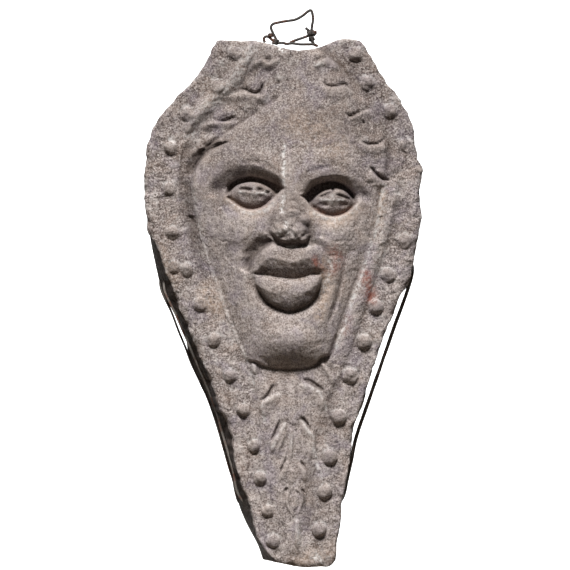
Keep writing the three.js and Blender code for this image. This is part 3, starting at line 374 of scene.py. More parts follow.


# Marks of painted shade, with some grime: darkening in the eye sockets, under the nose, lips and chin, inside the
# leaf locks, along hollows, over the upper border and along the foot: line, half width, strength
PAINTED_SHADE_AND_GRIME = [
    ([(232, 203), (250, 207), (267, 203)], 4.0, 0.6), ([(314, 208), (333, 213), (351, 208)], 4.0, 0.6),
    ([(254, 259), (284, 254), (324, 258)], 6.5, 0.5), ([(262, 284), (288, 287), (318, 283)], 6.0, 0.28),
    ([(222, 78), (260, 70), (310, 72), (350, 80)], 26.0, 0.40), ([(226, 150), (270, 122), (310, 118), (360, 132)], 30.0, 0.40),
    ([(226, 108), (212, 132)], 14.0, 0.25), ([(240, 98), (262, 100)], 9.0, 0.20),
    ([(276, 222), (292, 217), (304, 224), (306, 236), (292, 242), (278, 238)], 9.0, 0.66),
    ([(189, 150), (189, 200), (192, 240), (200, 270)], 6.0, 0.30),
    ([(222, 107), (205, 121), (195, 140), (189, 160)], 4.5, 0.45),
    ([(222, 50), (205, 78), (180, 103), (158, 138)], 12.0, 0.25), ([(362, 45), (386, 88), (408, 130)], 12.0, 0.25),
    ([(288, 188), (294, 200), (292, 214)], 8.0, 0.25), ([(270, 350), (290, 357), (312, 352)], 9.0, 0.24),
    ([(264, 268), (290, 271), (318, 268)], 5.0, 0.45), ([(260, 294), (270, 303), (288, 308), (304, 304), (318, 294)], 4.5, 0.75),
    ([(222, 168), (250, 170), (280, 182)], 5.0, 0.40), ([(302, 182), (334, 174), (362, 188)], 5.0, 0.40),
    ([(206, 128), (232, 128)], 5.0, 0.6), ([(224, 102), (262, 103)], 6.0, 0.6), ([(255, 71), (272, 73)], 6.0, 0.35),
    ([(328, 98), (356, 102)], 6.0, 0.5), ([(318, 72), (338, 74)], 6.0, 0.45), ([(250, 250), (262, 242)], 7.0, 0.45),
    ([(348, 124), (368, 128)], 5.0, 0.3), ([(190, 170), (197, 158), (207, 150)], 5.5, 0.8),
    ([(234, 200), (246, 204.5), (256, 205), (268, 200)], 4.5, 0.5), ([(316, 206), (326, 211), (338, 211.5), (350, 206)], 4.5, 0.5),
    ([(347, 113), (354, 116)], 3.5, 0.6), ([(258, 88), (262, 93)], 2.5, 0.7), ([(221, 195), (219, 185), (226, 177), (240, 172)], 6.5, 0.75),
    ([(236, 190), (252, 188), (268, 192)], 9.0, 0.58), ([(316, 200), (332, 196), (350, 200)], 9.0, 0.62),
    ([(356, 184), (364, 192)], 4.5, 0.6), ([(268, 242), (257, 250), (249, 261)], 5.0, 0.65),
    ([(273, 242), (266, 246.5), (259.5, 252), (254, 259), (250, 268)], 2.6, 0.8), ([(221, 196), (227, 201)], 4.5, 0.5),
    ([(276, 237), (284, 241), (294, 242), (304, 241)], 4.0, 0.6), ([(262, 297), (274, 303), (288, 306), (302, 303), (315, 295)], 5.0, 0.6),
    ([(266, 560), (290, 563.5), (315, 564.5), (333, 561)], 2.6, 0.8), ([(313, 478), (314, 500), (310, 522)], 7.0, 0.35),
    ([(330, 396), (331, 414), (327, 432)], 5.0, 0.35), ([(299, 488), (303.5, 496), (301, 508)], 1.6, 0.5),
    ([(283, 493), (286, 489), (290, 488)], 1.6, 0.6), ([(307, 382), (317, 387), (325, 392)], 3.2, 0.4),
    ([(281, 420), (287, 420)], 2.4, 0.6), ([(299, 418.5), (305, 419)], 2.2, 0.6), ([(272, 386), (275, 385)], 2.0, 0.5),
    ([(264, 562), (258, 552), (253, 540)], 4.0, 0.5),
    ([(201, 153), (207, 148), (214, 144.5), (220, 142.5)], 2.6, 1.0),
    ([(225, 201), (230, 194), (235, 189)], 4.5, 0.45), ([(309, 205), (314, 198), (320, 193)], 4.5, 0.45),
]

# The sling's two turns as the photograph shows them, and their hidden run behind the stone
OUTER_SLING = {
    "behind_left": [(272, 50), (240, 120), (200, 200), (168, 262)],
    "left": [(160, 283), (171.3, 312), (184.3, 345), (190.2, 360), (195.3, 372), (201.2, 384), (206.8, 396),
             (211.2, 408), (215.2, 420), (219, 432), (222.4, 444), (226, 456), (229.3, 468), (233, 480), (235.4, 492),
             (240, 503)],
    "right": [(339, 503), (344, 496), (347, 483), (352, 461), (357, 437), (371, 396), (392, 335), (413, 272)],
    "behind_right": [(402, 250), (376, 190), (344, 110), (315, 50)],
}
INNER_SLING = {
    "behind_left": [(276, 50), (246, 120), (208, 200), (174, 262)],
    "left": [(164, 286), (176, 315), (189.5, 346), (204.5, 381), (214, 404), (223.5, 438), (231.5, 465), (237.5, 492),
             (245, 503)],
    "right": [(338, 503), (343, 496), (346, 483), (350.5, 461), (355.5, 437), (369.5, 396), (390.5, 335), (411, 272)],
    "behind_right": [(396, 250), (370, 190), (340, 110), (311, 50)],
}
FOOT_BORE = [(252, 504), (275, 504), (310, 504), (331, 504)]

# The bail: strands as (across, down, depth before its own plane), then coils as a middle, tilt, reach, turns and pitch
BAIL_DEPTH = 11.75
BAIL_WIRE_DIAMETER = 0.0033
BAIL_STRANDS = [
    [(277, 44, 0), (276.5, 40, 0), (273, 33, 0), (271, 27.5, 0), (273, 24, 0), (279, 22.5, 0), (288, 21, 0),
     (296, 19.5, 0), (303, 15.5, 0), (308, 11.5, 0), (311, 10.5, 0), (312.5, 14, 0), (313, 20, 0), (312, 26, 0),
     (311.5, 32, 0), (311, 38, 0), (313, 43, 0), (316, 46, 0)],
    [(278, 43, 2), (283, 43, 2), (286.5, 44, 2), (292, 43.5, 2), (300, 44.5, 2), (308, 44.5, 2), (314, 44.5, 2),
     (318, 46.5, 2)],
    [(290, 42.5, -1), (296, 40, -1), (302, 38, -1), (309, 35.5, -1), (314, 34, -1)],
    [(265, 42.5, 0), (264, 40, 0), (264.5, 37.5, 0), (267, 36.5, 0), (270, 38, 0), (273, 40.5, 0), (277, 42, 0)],
    [(305.5, 28, 1), (308, 30, 1), (311, 32, 1), (314, 33.5, 1)],
    [(310, 37, 2), (312, 40, 2), (313.5, 43.5, 2), (312, 45, 2)],
]
BAIL_COILS = [
    (275.5, 42, 0, 0.4, 1.9, 2.5, 1.6), (270.6, 35.2, 0, 0.2, 1.6, 1.4, 1.4), (311, 33.5, 0, 1.4, 2.1, 3.5, 1.8),
    (313.6, 33.2, 1, 0.1, 2.0, 1.6, 1.6), (311.5, 38.5, 0, 1.3, 1.5, 2.0, 2.0),
]


def smooth_line(points, steps=8):
    """A line through the points: each span is a cubic whose slope at a point is half the way between its neighbours."""
    p = np.asarray(points, float)
    q = np.vstack([2 * p[0] - p[1], p, 2 * p[-1] - p[-2]])
    u = np.linspace(0, 1, steps, endpoint=False)[:, None]
    a, b, c, d = (q[i : len(q) - 3 + i][:, None] for i in range(4))
    curve = 0.5 * (2 * b + (c - a) * u + (2 * a - 5 * b + 4 * c - d) * u**2 + (3 * b - a - 3 * c + d) * u**3)
    return np.vstack([curve.reshape(-1, p.shape[1]), p[-1]])


def smoothstep(low, high, v):
    """0 below low, 1 above high, and 3t^2 - 2t^3 between."""
    t = np.clip((v - low) / (high - low), 0, 1)
    return t * t * (3 - 2 * t)


def across_at(points, y):
    """The place across of a smooth line that runs down the stone, at each place down."""
    line = smooth_line(points)
    return np.interp(y, line[:, 1], line[:, 0])


def down_at(points, x):
    """The place down of a smooth line that runs across the stone, at each place across."""
    line = smooth_line(points)
    return np.interp(x, line[:, 0], line[:, 1])


def nearest(points, reach, x, y):
    """Which places lie near a line, and for those the distance to it, the side (1 is right of the way it runs, which
    is below a line that runs right) and the share along it. Each place is dropped square on to every span of the
    line, and the nearest foot is kept."""
    line = smooth_line(points)
    low, high = line.min(axis=0) - reach, line.max(axis=0) + reach
    near = (x > low[0]) & (x < high[0]) & (y > low[1]) & (y < high[1])
    px, py = x[near], y[near]
    off, side, along = np.full(px.shape, np.inf), np.ones(px.shape), np.zeros(px.shape)
    for i, (start, end) in enumerate(zip(line[:-1], line[1:])):
        dx, dy = end - start
        t = np.clip(((px - start[0]) * dx + (py - start[1]) * dy) / (dx * dx + dy * dy), 0, 1)
        ex, ey = px - start[0] - t * dx, py - start[1] - t * dy
        distance = np.hypot(ex, ey)
        closer = distance < off
        off = np.where(closer, distance, off)
        side = np.where(closer, np.sign(dx * ey - dy * ex), side)
        along = np.where(closer, (i + t) / (len(line) - 1), along)
    return near, off, side, along


def fullness(along):
    """1 along the middle of a stroke and 0 at its ends: the root of one minus the cube of the way from the middle."""
    return np.sqrt(np.maximum(0, 1 - np.abs(2 * along - 1) ** 3))


def add_ridge(rise, x, y, points, above, below, height):
    """A ridge along a line: height times one minus the squared share of the width away, squared. The widths above
    and below the line differ, and the ridge fades at both ends."""
    near, off, side, along = nearest(points, max(above, below), x, y)
    full = fullness(along)
    share = off / np.maximum(np.where(side > 0, below, above) * np.maximum(full, 0.3), 1e-6)
    rise[near] += height * full * np.clip(1 - share**2, 0, 1) ** 2


def add_hollow(rise, x, y, points, half, depth):
    """A round hollow along a line."""
    add_ridge(rise, x, y, points, half, half, -depth)


def add_band(rise, x, y, points, half, height):
    """A gently domed band along a line: height times one minus the cube of the share of the width away."""
    near, off, _, along = nearest(points, half, x, y)
    rise[near] += height * fullness(along) * np.clip(1 - (off / half) ** 3, 0, 1)


def add_slit(rise, x, y, points, half, depth):
    """A narrow cut with steep sides along a line: depth times one minus the fourth power of the share of the width
    away, deepest in the middle of its run."""
    near, off, _, along = nearest(points, half, x, y)
    full = fullness(along)
    rise[near] -= depth * full * np.clip(1 - (off / (half * np.maximum(full, 0.35))) ** 4, 0, 1)


def dome(x, y, middle, reach, power=1.0):
    """A dome over an ellipse: one minus the squared share of the way to its rim, to a power."""
    r2 = ((x - middle[0]) / reach[0]) ** 2 + ((y - middle[1]) / reach[1]) ** 2
    return np.clip(1 - r2, 0, 1) ** power


def swell(form, x, y, roundness=2.3):
    """A swell between a left and a right side: it rises from a low wall at each side to the middle's profile, along an
    oval, one minus the share of the half width to the power of roundness, all to the power of the form's fullness."""
    left, right = across_at(form["left"], y), across_at(form["right"], y)
    share = np.clip(2 * (x - left) / (right - left) - 1, -1, 1)
    fullness = np.where(share < 0, down_profile(form["left_fullness"], y), down_profile(form["right_fullness"], y))
    oval = np.clip(1 - np.abs(share) ** roundness, 0, 1) ** fullness
    wall = np.where(share < 0, down_profile(form["left_wall"], y), down_profile(form["right_wall"], y))
    height = wall + (down_profile(form["middle"], y) - wall) * oval
    left_edge, right_edge = form["edges"]
    edges = smoothstep(-left_edge, 1, x - left) * smoothstep(0, right_edge, right - x)
    low, high = form["middle"][0][1], form["middle"][-1][1]
    return np.where((y > low) & (y < high), height * edges, 0)


def down_profile(points, y):
    """The rise of a profile at each place down."""
    line = smooth_line(points)
    return np.interp(y, line[:, 1], line[:, 0])


def add_lip(rise, x, y, lip, height):
    """A lip between its top edge and its foot: part ramp, part quarter round up to the crest, then a fall to the foot
    with a power of the share that is left. It sinks towards the two corners with a high power of the way from its middle."""
    top, crest, foot = (down_at(lip[edge], x) for edge in ("top", "crest", "foot"))
    first, last = lip["top"][0][0], lip["top"][-1][0]
    corner, under, ramp = lip["roundness"]
    u = np.clip(2 * (x - first) / (last - first) - 1, -1, 1)
    up = np.clip((y - top) / np.maximum(crest - top, 0.5), 0, 1)
    down = np.clip((foot - y) / np.maximum(foot - crest, 0.5), 0, 1)
    quarter = np.sqrt(1 - (1 - up) ** 2)
    left_fade, right_fade = lip["fade"]
    ends = (1 - np.abs(u) ** corner) ** 0.5 * smoothstep(0, left_fade, x - first) * smoothstep(0, right_fade, last - x)
    rise += height * ends * (ramp * up + (1 - ramp) * quarter) * down**under


def add_eye(rise, x, y, eye):
    """An eye: the brow falls in to the edge of the opening, the opening drops steeply under it, and a ball swells out
    of the opening. The ball's rise is an oval across and down, highest above its middle, so that it turns back in
    below."""
    upper, lower, brow = down_at(eye["upper"], x), down_at(eye["lower"], x), down_at(eye["brow"], x)
    outer, inner = eye["brow"][0][0], eye["brow"][-1][0]
    ends = smoothstep(outer - 1, outer + 12, x) * smoothstep(inner + 1, inner - 10, x)
    left, right = eye["reach"]
    within = smoothstep(left - 2, left + 6, x) * smoothstep(right + 2, right - 6, x)
    fall = np.clip((y - brow) / np.maximum(upper - brow, 2), 0, 1) * smoothstep(0, -1, (y - lower - 2) / (4 + 9 * (1 - within)))
    opening = smoothstep(-1.0, 2.0, y - upper) * smoothstep(-1.0, 1.2, lower - y) * within
    rise -= np.maximum(BROW_FALL * ends * fall**1.3, SOCKET_DEPTH * opening)
    top = down_at(eye["ball"], x)
    ball_left, ball_right = eye["ball"][0][0], eye["ball"][-1][0]
    v = np.clip((y - top) / np.maximum(lower - top, 1), 0, 1)
    u = np.clip(2 * (x - ball_left) / (ball_right - ball_left) - 1, -1, 1)
    v = v**0.78
    rise += BALL_RISE * (4 * v * (1 - v)) ** 0.5 * (1 - u**2) ** 0.5


def add_pupil(rise, x, y, eye):
    """A carved pupil: raised bars with slits over them, a boss between the slits, and a hollow on each side below."""
    half, slit_depth, hollow_depth = eye["cuts"]
    for bar in eye["bars"]:
        add_ridge(rise, x, y, bar, 1.8, 2.4, 1.1)
    rise += 2.0 * dome(x, y, *eye["boss"])
    for slit in eye["slits"]:
        add_slit(rise, x, y, slit, half, slit_depth)
    for hollow in eye["hollows"]:
        add_hollow(rise, x, y, hollow, 3.6, hollow_depth)


def lattice(places, seed):
    """A number from 0 to 1 for each whole-number place: the fraction of a large multiple of a sine of the place."""
    mixed = np.sin(places @ np.array([127.1, 311.7, 74.7]) + 17.3 * seed) * 43758.5453
    return mixed - np.floor(mixed)


def noise(points, size, seed=0, octaves=1):
    """Smooth noise from -1 to 1 with features of a size: numbers on a lattice, blended with smooth steps between its
    places. Each further octave is half as large and half as strong."""
    total, strength, reach = 0.0, 1.0, 0.0
    for octave in range(octaves):
        q = points * (2.0**octave / size)
        base = np.floor(q)
        w = q - base
        w = w * w * (3 - 2 * w)
        value = 0.0
        for corner in np.ndindex(2, 2, 2):
            share = np.prod(np.where(corner, w, 1 - w), axis=-1)
            value = value + share * lattice(base + corner, seed + 7 * octave)
        total = total + strength * (2 * value - 1)
        reach += strength
        strength *= 0.5
    return total / reach


def stone_relief(x, y):
    """The carving's rise in millimetres at each place."""
    face = swell(FACE, x, y)
    rise = np.where(y < 228, np.maximum(swell(HAIR, x, y), face), face)
    for ridge in FACE_RIDGES:
        add_ridge(rise, x, y, *ridge)
    for hollow in FACE_HOLLOWS:
        add_hollow(rise, x, y, *hollow)
    for middle, reach, height in CHEEKS:
        rise += height * dome(x, y, middle, reach, 2)
    add_lip(rise, x, y, UPPER_LIP, 13)
    add_lip(rise, x, y, LOWER_LIP, 12)
    rise += nose(x, y)
    for eye in EYES:
        add_eye(rise, x, y, eye)
        add_pupil(rise, x, y, eye)
    under_chin = smoothstep(-1.4, 1.4, y - down_at(CHIN_EDGE, x))
    beard = swell_of_beard(x, y)
    rise = np.where(y > 330, (1 - under_chin) * rise + under_chin * beard, rise)
    for ridge in BORDER_RIDGES + LOBES + BEARD_RIDGES:
        add_ridge(rise, x, y, *ridge)
    add_band(rise, x, y, RIGHT_BAND, 9.5, 5.0)
    for hollow in BORDER_HOLLOWS:
        add_hollow(rise, x, y, *hollow)
    leafy = smoothstep(190, 150, y) * smoothstep(3, -4, face - swell(HAIR, x, y)) * (rise > 3)
    rise += 1.1 * leafy * noise(np.stack([x, y, 0 * x], axis=-1), 10.0, 81, 3)
    for lock in LEFT_LOCKS + RIGHT_LOCKS + BEARD_LOCKS:
        add_lock(rise, x, y, lock)
    add_hollow(rise, x, y, [(362, 123), (365, 123.5)], 2.0, 3.5)
    worn = noise(np.stack([x, y, 0 * x], axis=-1), 7.0, 71, 2)
    sx, sy = x + 0.9 * worn, y + 0.9 * np.roll(worn, 5, axis=0)
    for bx, by, radius, height in LEFT_BOSSES + RIGHT_BOSSES:
        rise += 0.88 * height * (1 + 0.3 * worn) * dome(sx, sy, (bx, by), (radius, radius), 0.6)
    return rise


def swell_of_beard(x, y):
    """The beard's low ground between its two sides, highest along the middle."""
    left, right = across_at(BEARD_SIDES["left"], y), across_at(BEARD_SIDES["right"], y)
    inside = np.minimum(x - left, right - x)
    return (2.0 * smoothstep(-3, 9, inside) + 2.5 * smoothstep(0, 22, inside)) * smoothstep(558, 545, y)


def nose(x, y):
    """The broken nose: a rough stub of lobes that ends in a steep underside."""
    place = np.stack([x, y, 0 * x], axis=-1)
    warp, rough = noise(place, 7.0, 3, 2), noise(place, 3.6, 4, 2)
    sx, sy = x + 1.2 * warp, y + 1.2 * np.roll(warp, 4, axis=1)
    stub = np.zeros_like(x)
    for middle, reach, height in NOSE_LOBES:
        stub = np.maximum(stub, height * dome(sx, sy, middle, reach, 0.72))
    stub += 2.6 * rough * smoothstep(0, 6, stub)
    return np.maximum(stub, 0) * smoothstep(0.5, -5.0, y - down_at(NOSE_FOOT, x))


def add_lock(rise, x, y, lock):
    """One leaf lock: a drilled slit, and under it a leaf that stands up at its lip and falls away below."""
    add_slit(rise, x, y, lock["slit"], *lock["cut"])
    if "lip" in lock:
        height, under = lock["leaf"]
        add_ridge(rise, x, y, lock["lip"], 3.0, under, height)


def outline_grid():
    """Places across and down for a grid over the front: the four edges are blended, so that rows follow the top and
    the foot and columns follow the sides. A second pair gives the outline's places at the back."""
    s, t = np.meshgrid(np.linspace(0, 1, COLUMNS + 1), np.linspace(0, 1, ROWS + 1))
    t = t - CROWDING * (np.sin(2 * np.pi * (t - FACE_ROW)) + np.sin(2 * np.pi * FACE_ROW))

    def blend(left_side):
        def side(points):
            y = points[0][1] + t * (points[-1][1] - points[0][1])
            return np.stack([across_at(points, y), y])

        def edge(points, k):
            x = left_side[k][0] + s * (RIGHT_SIDE[k][0] - left_side[k][0])
            return np.stack([x, down_at(points, x)])

        left, right, top, foot = side(left_side), side(RIGHT_SIDE), edge(TOP_EDGE, 0), edge(FOOT_EDGE, -1)

        def corner(k):
            return np.stack([left_side[k][i] + s * (RIGHT_SIDE[k][i] - left_side[k][i]) for i in (0, 1)])

        return left + s * (right - left) + top + t * (foot - top) - corner(0) - t * (corner(-1) - corner(0))

    return s, t, blend(FRONT_LEFT), blend(seen(BACK_LEFT, BACK_FALL))


def round_rim(grid):
    """The values of a grid along its rim, from its first corner and round."""
    return np.concatenate([grid[0, :-1], grid[:-1, -1], grid[-1, :0:-1], grid[:0:-1, 0]])


def seen(points, depth):
    """Places that the photograph shows for things at a depth, put where they truly are: further out from the middle
    of the picture, by their distance behind the border over the camera's distance to the border."""
    further = 1 + (SLAB_DEPTH - depth) * MM / CAMERA_DISTANCE
    return [tuple(c + (p - c) * further for p, c in zip(point, PICTURE_MIDDLE)) for point in points]


def to_metres(x, y, depth):
    """Points in metres from pixels across and down and millimetres before the wall."""
    return np.stack([(x - MIDDLE[0]) * PX, -depth * MM, (MIDDLE[1] - y) * PX], axis=-1)


def stone_surface():
    """The stone's points and faces: the carved front as a grid, the flanks as rows round its rim, and the back as
    rings that close on the wall pad. Also the relief, for the marks on it."""
    s, t, (x, y), (bx, by) = outline_grid()
    flat = to_metres(x, y, np.zeros_like(x))
    rim_off = np.minimum(np.minimum(s, 1 - s) * 250, np.minimum(t, 1 - t) * 528)
    near_rim = np.exp(-rim_off / 9)
    ragged = noise(flat, 0.020, 11, 3)
    x = x + near_rim * (2.0 * ragged + 1.3 * noise(flat, 0.009, 13, 2)) * np.sign(0.5 - s)
    y = y + 1.6 * near_rim * noise(flat, 0.024, 12, 3)
    rise = stone_relief(x, y)
    chips = smoothstep(0.12, 0.6, noise(flat, 0.022, 21, 2))
    nicks = smoothstep(0.05, 0.5, noise(flat, 0.011, 22, 2))
    worn = 1.8 * np.exp(-rim_off / 1.8) + 6.0 * chips * np.exp(-rim_off / 5.0) + 4.0 * nicks * np.exp(-rim_off / 2.2)
    rough = 0.65 * noise(flat, 0.030, 31, 3) + (0.25 + 0.3 * coarseness(x, y)) * noise(flat, 0.0065, 32, 2)
    pits = smoothstep(0.42, 0.8, noise(flat, 0.0055, 41, 1)) * 0.7
    depth = SLAB_DEPTH - worn + rise + rough - pits
    front = to_metres(x, y, depth)

    rim = round_rim(front)
    back_x, back_y = round_rim(bx), round_rim(by)
    rows, faces = [], []
    count = len(rim)
    columns = COLUMNS + 1
    index = np.arange(front.shape[0] * columns).reshape(front.shape[:2])
    faces.append(grid_faces(index))
    ring = round_rim(index)
    start = index.size
    back_rim = to_metres(back_x, back_y, np.full(count, BACK_FALL))
    out = outward(back_rim)
    for k in range(1, FLANK_ROWS + 1):
        share = (k / FLANK_ROWS) ** 1.25
        row = rim + share * (back_rim - rim)
        bulge = 0.6 * np.sin(np.pi * share)
        rough = 1.3 * noise(row, 0.026, 51, 3) + 0.6 * noise(row, 0.007, 52, 2)
        row = row + out * ((bulge + rough * (1 if k < FLANK_ROWS else 0.3)) * MM)[:, None]
        rows.append(row)
        new = start + np.arange(count)
        faces.append(ring_faces(ring, new))
        ring, start = new, start + count
    pad = pad_rim(back_x, back_y)
    for k in range(1, BACK_RINGS + 1):
        share = k / BACK_RINGS
        bx_k, by_k = back_x + share * (pad[0] - back_x), back_y + share * (pad[1] - back_y)
        keep = slice(None, None, 2) if k in (1, 2, 3) else slice(None)
        back_x, back_y, pad = halved(back_x, keep), halved(back_y, keep), (pad[0][keep], pad[1][keep])
        bx_k, by_k = bx_k[keep], by_k[keep]
        row = to_metres(bx_k, by_k, np.full(len(bx_k), BACK_FALL * (1 - share)))
        fade = np.sin(np.pi * min(share, 1)) if k < BACK_RINGS else 0
        row[:, 1] -= MM * fade * (0.6 + 0.6 * noise(row, 0.030, 61, 3))
        rows.append(row)
        new = start + np.arange(len(row))
        faces.append(ring_faces(ring, new) if len(new) == len(ring) else halving_faces(ring, new))
        ring, start = new, start + len(row)
    middle = to_metres(np.array([PAD_MIDDLE[0]]), np.array([PAD_MIDDLE[1]]), np.zeros(1))
    rows.append(middle)
    faces.append(np.stack([ring, np.roll(ring, -1), np.full(len(ring), start)], axis=1))
    points = np.vstack([front.reshape(-1, 3), *rows])
    return points, faces, (x, y, rise, 0.55 * np.exp(-rim_off / 2.0) * smoothstep(-0.1, 0.4, noise(flat, 0.009, 23, 2)))


def halved(values, keep):
    """Every second value, where a ring is thinned."""
    return values[keep]


def pad_rim(x, y):
    """For each place on the outline, the place on the pad's oval rim on the way to the pad's middle."""
    angle = np.arctan2((y - PAD_MIDDLE[1]) / PAD_REACH[1], (x - PAD_MIDDLE[0]) / PAD_REACH[0])
    return PAD_MIDDLE[0] + PAD_REACH[0] * np.cos(angle), PAD_MIDDLE[1] + PAD_REACH[1] * np.sin(angle)


def outward(ring):
    """The way out of a closed ring at each of its points, in the plane of the wall."""
    way = np.roll(ring, -6, axis=0) - np.roll(ring, 6, axis=0)
    out = np.stack([way[:, 2], 0 * way[:, 0], -way[:, 0]], axis=1)
    out /= np.linalg.norm(out, axis=1)[:, None]
    return out if np.sum(out * ring) > 0 else -out


def grid_faces(index):
    """Four-sided faces between neighbouring places of a grid."""
    return np.stack([index[:-1, :-1], index[1:, :-1], index[1:, 1:], index[:-1, 1:]], axis=-1).reshape(-1, 4)


def ring_faces(first, second):
    """Four-sided faces between two rings of the same count."""
    return np.stack([first, np.roll(first, -1), np.roll(second, -1), second], axis=1)


def halving_faces(fine, coarse):
    """Faces from a ring to one with half as many points: three triangles for each coarse step."""
    a, b, c = fine[0::2], fine[1::2], np.roll(fine, -2)[0::2]
    d, e = coarse, np.roll(coarse, -1)
    return np.vstack([np.stack(f, axis=1) for f in ((a, b, d), (b, e, d), (b, c, e))])


def make_mesh(name, points, faces, material):
    """A smooth mesh object at the origin from points and lists of three- and four-sided faces."""
    mesh = bpy.data.meshes.new(name)
    every = [face for block in faces for face in block.tolist()]
    mesh.from_pydata(points.tolist(), [], every)
    mesh.polygons.foreach_set("use_smooth", np.ones(len(mesh.polygons), bool))
    mesh.materials.append(material)
    mesh.update()
    piece = bpy.data.objects.new(name, mesh)
    bpy.context.scene.collection.objects.link(piece)
    return piece


def blurred(grid, reach):
    """A grid averaged over a square of neighbours, twice, by way of running sums."""
    for _ in range(2):
        for axis in (0, 1):
            padding = [(reach + 1, reach) if a == axis else (0, 0) for a in (0, 1)]
            total = np.cumsum(np.pad(grid, padding, mode="edge"), axis=axis)
            length = grid.shape[axis]
            high = np.take(total, np.arange(length) + 2 * reach + 1, axis=axis)
            low = np.take(total, np.arange(length), axis=axis)
            grid = (high - low) / (2 * reach + 1)
    return grid


def marks(lines, x, y):
    """How strongly each place is marked by soft strokes, 0 to 1."""
    strength = np.zeros_like(x)
    for points, half, amount in lines:
        near, off, _, along = nearest(points, 3 * half, x, y)
        stroke = amount * np.exp(-((off / half) ** 2))
        strength[near] = np.maximum(strength[near], stroke)
    return strength


def add_values(piece, name, values, elsewhere=0.0):
    """A number for each point of the stone's front, and one for all the others."""
    full = np.full(len(piece.data.vertices), elsewhere, np.float32)
    full[: values.size] = values.reshape(-1)
    piece.data.attributes.new(name, "FLOAT", "POINT").data.foreach_set("value", full)


def linear(code):
    """A linear colour from an sRGB hex code."""
    parts = [int(code[i : i + 2], 16) / 255 for i in (1, 3, 5)]
    return [c / 12.92 if c <= 0.04045 else ((c + 0.055) / 1.055) ** 2.4 for c in parts] + [1.0]


def add_node(tree, kind, links=None, **settings):
    """Adds a node, sets its own values by name, its sockets by number or name, and links other nodes' outputs."""
    node = tree.nodes.new(kind)
    for name, value in settings.items():
        setattr(node, name, value)
    for socket, value in (links or {}).items():
        if isinstance(value, bpy.types.NodeSocket):
            tree.links.new(value, node.inputs[socket])
        else:
            node.inputs[socket].default_value = value
    return node


def new_material(name):
    """An empty material's tree and its output."""
    material = bpy.data.materials.new(name)
    material.use_nodes = True
    tree = material.node_tree
    tree.nodes.clear()
    return material, tree, tree.nodes.new("ShaderNodeOutputMaterial")


def mix_colours(tree, share, first, second, blend="MIX"):
    """One colour over another by a share."""
    node = add_node(tree, "ShaderNodeMix", {0: share, 6: first, 7: second}, data_type="RGBA", blend_type=blend)
    return node.outputs[2]


def ranged(tree, value, low, high, to_low=0.0, to_high=1.0):
    """A value's range carried to another range, held at its ends."""
    links = {0: value, 1: low, 2: high, 3: to_low, 4: to_high}
    return add_node(tree, "ShaderNodeMapRange", links, clamp=True).outputs[0]


def math(tree, operation, first, second):
    """One sum of two values."""
    return add_node(tree, "ShaderNodeMath", {0: first, 1: second}, operation=operation).outputs[0]


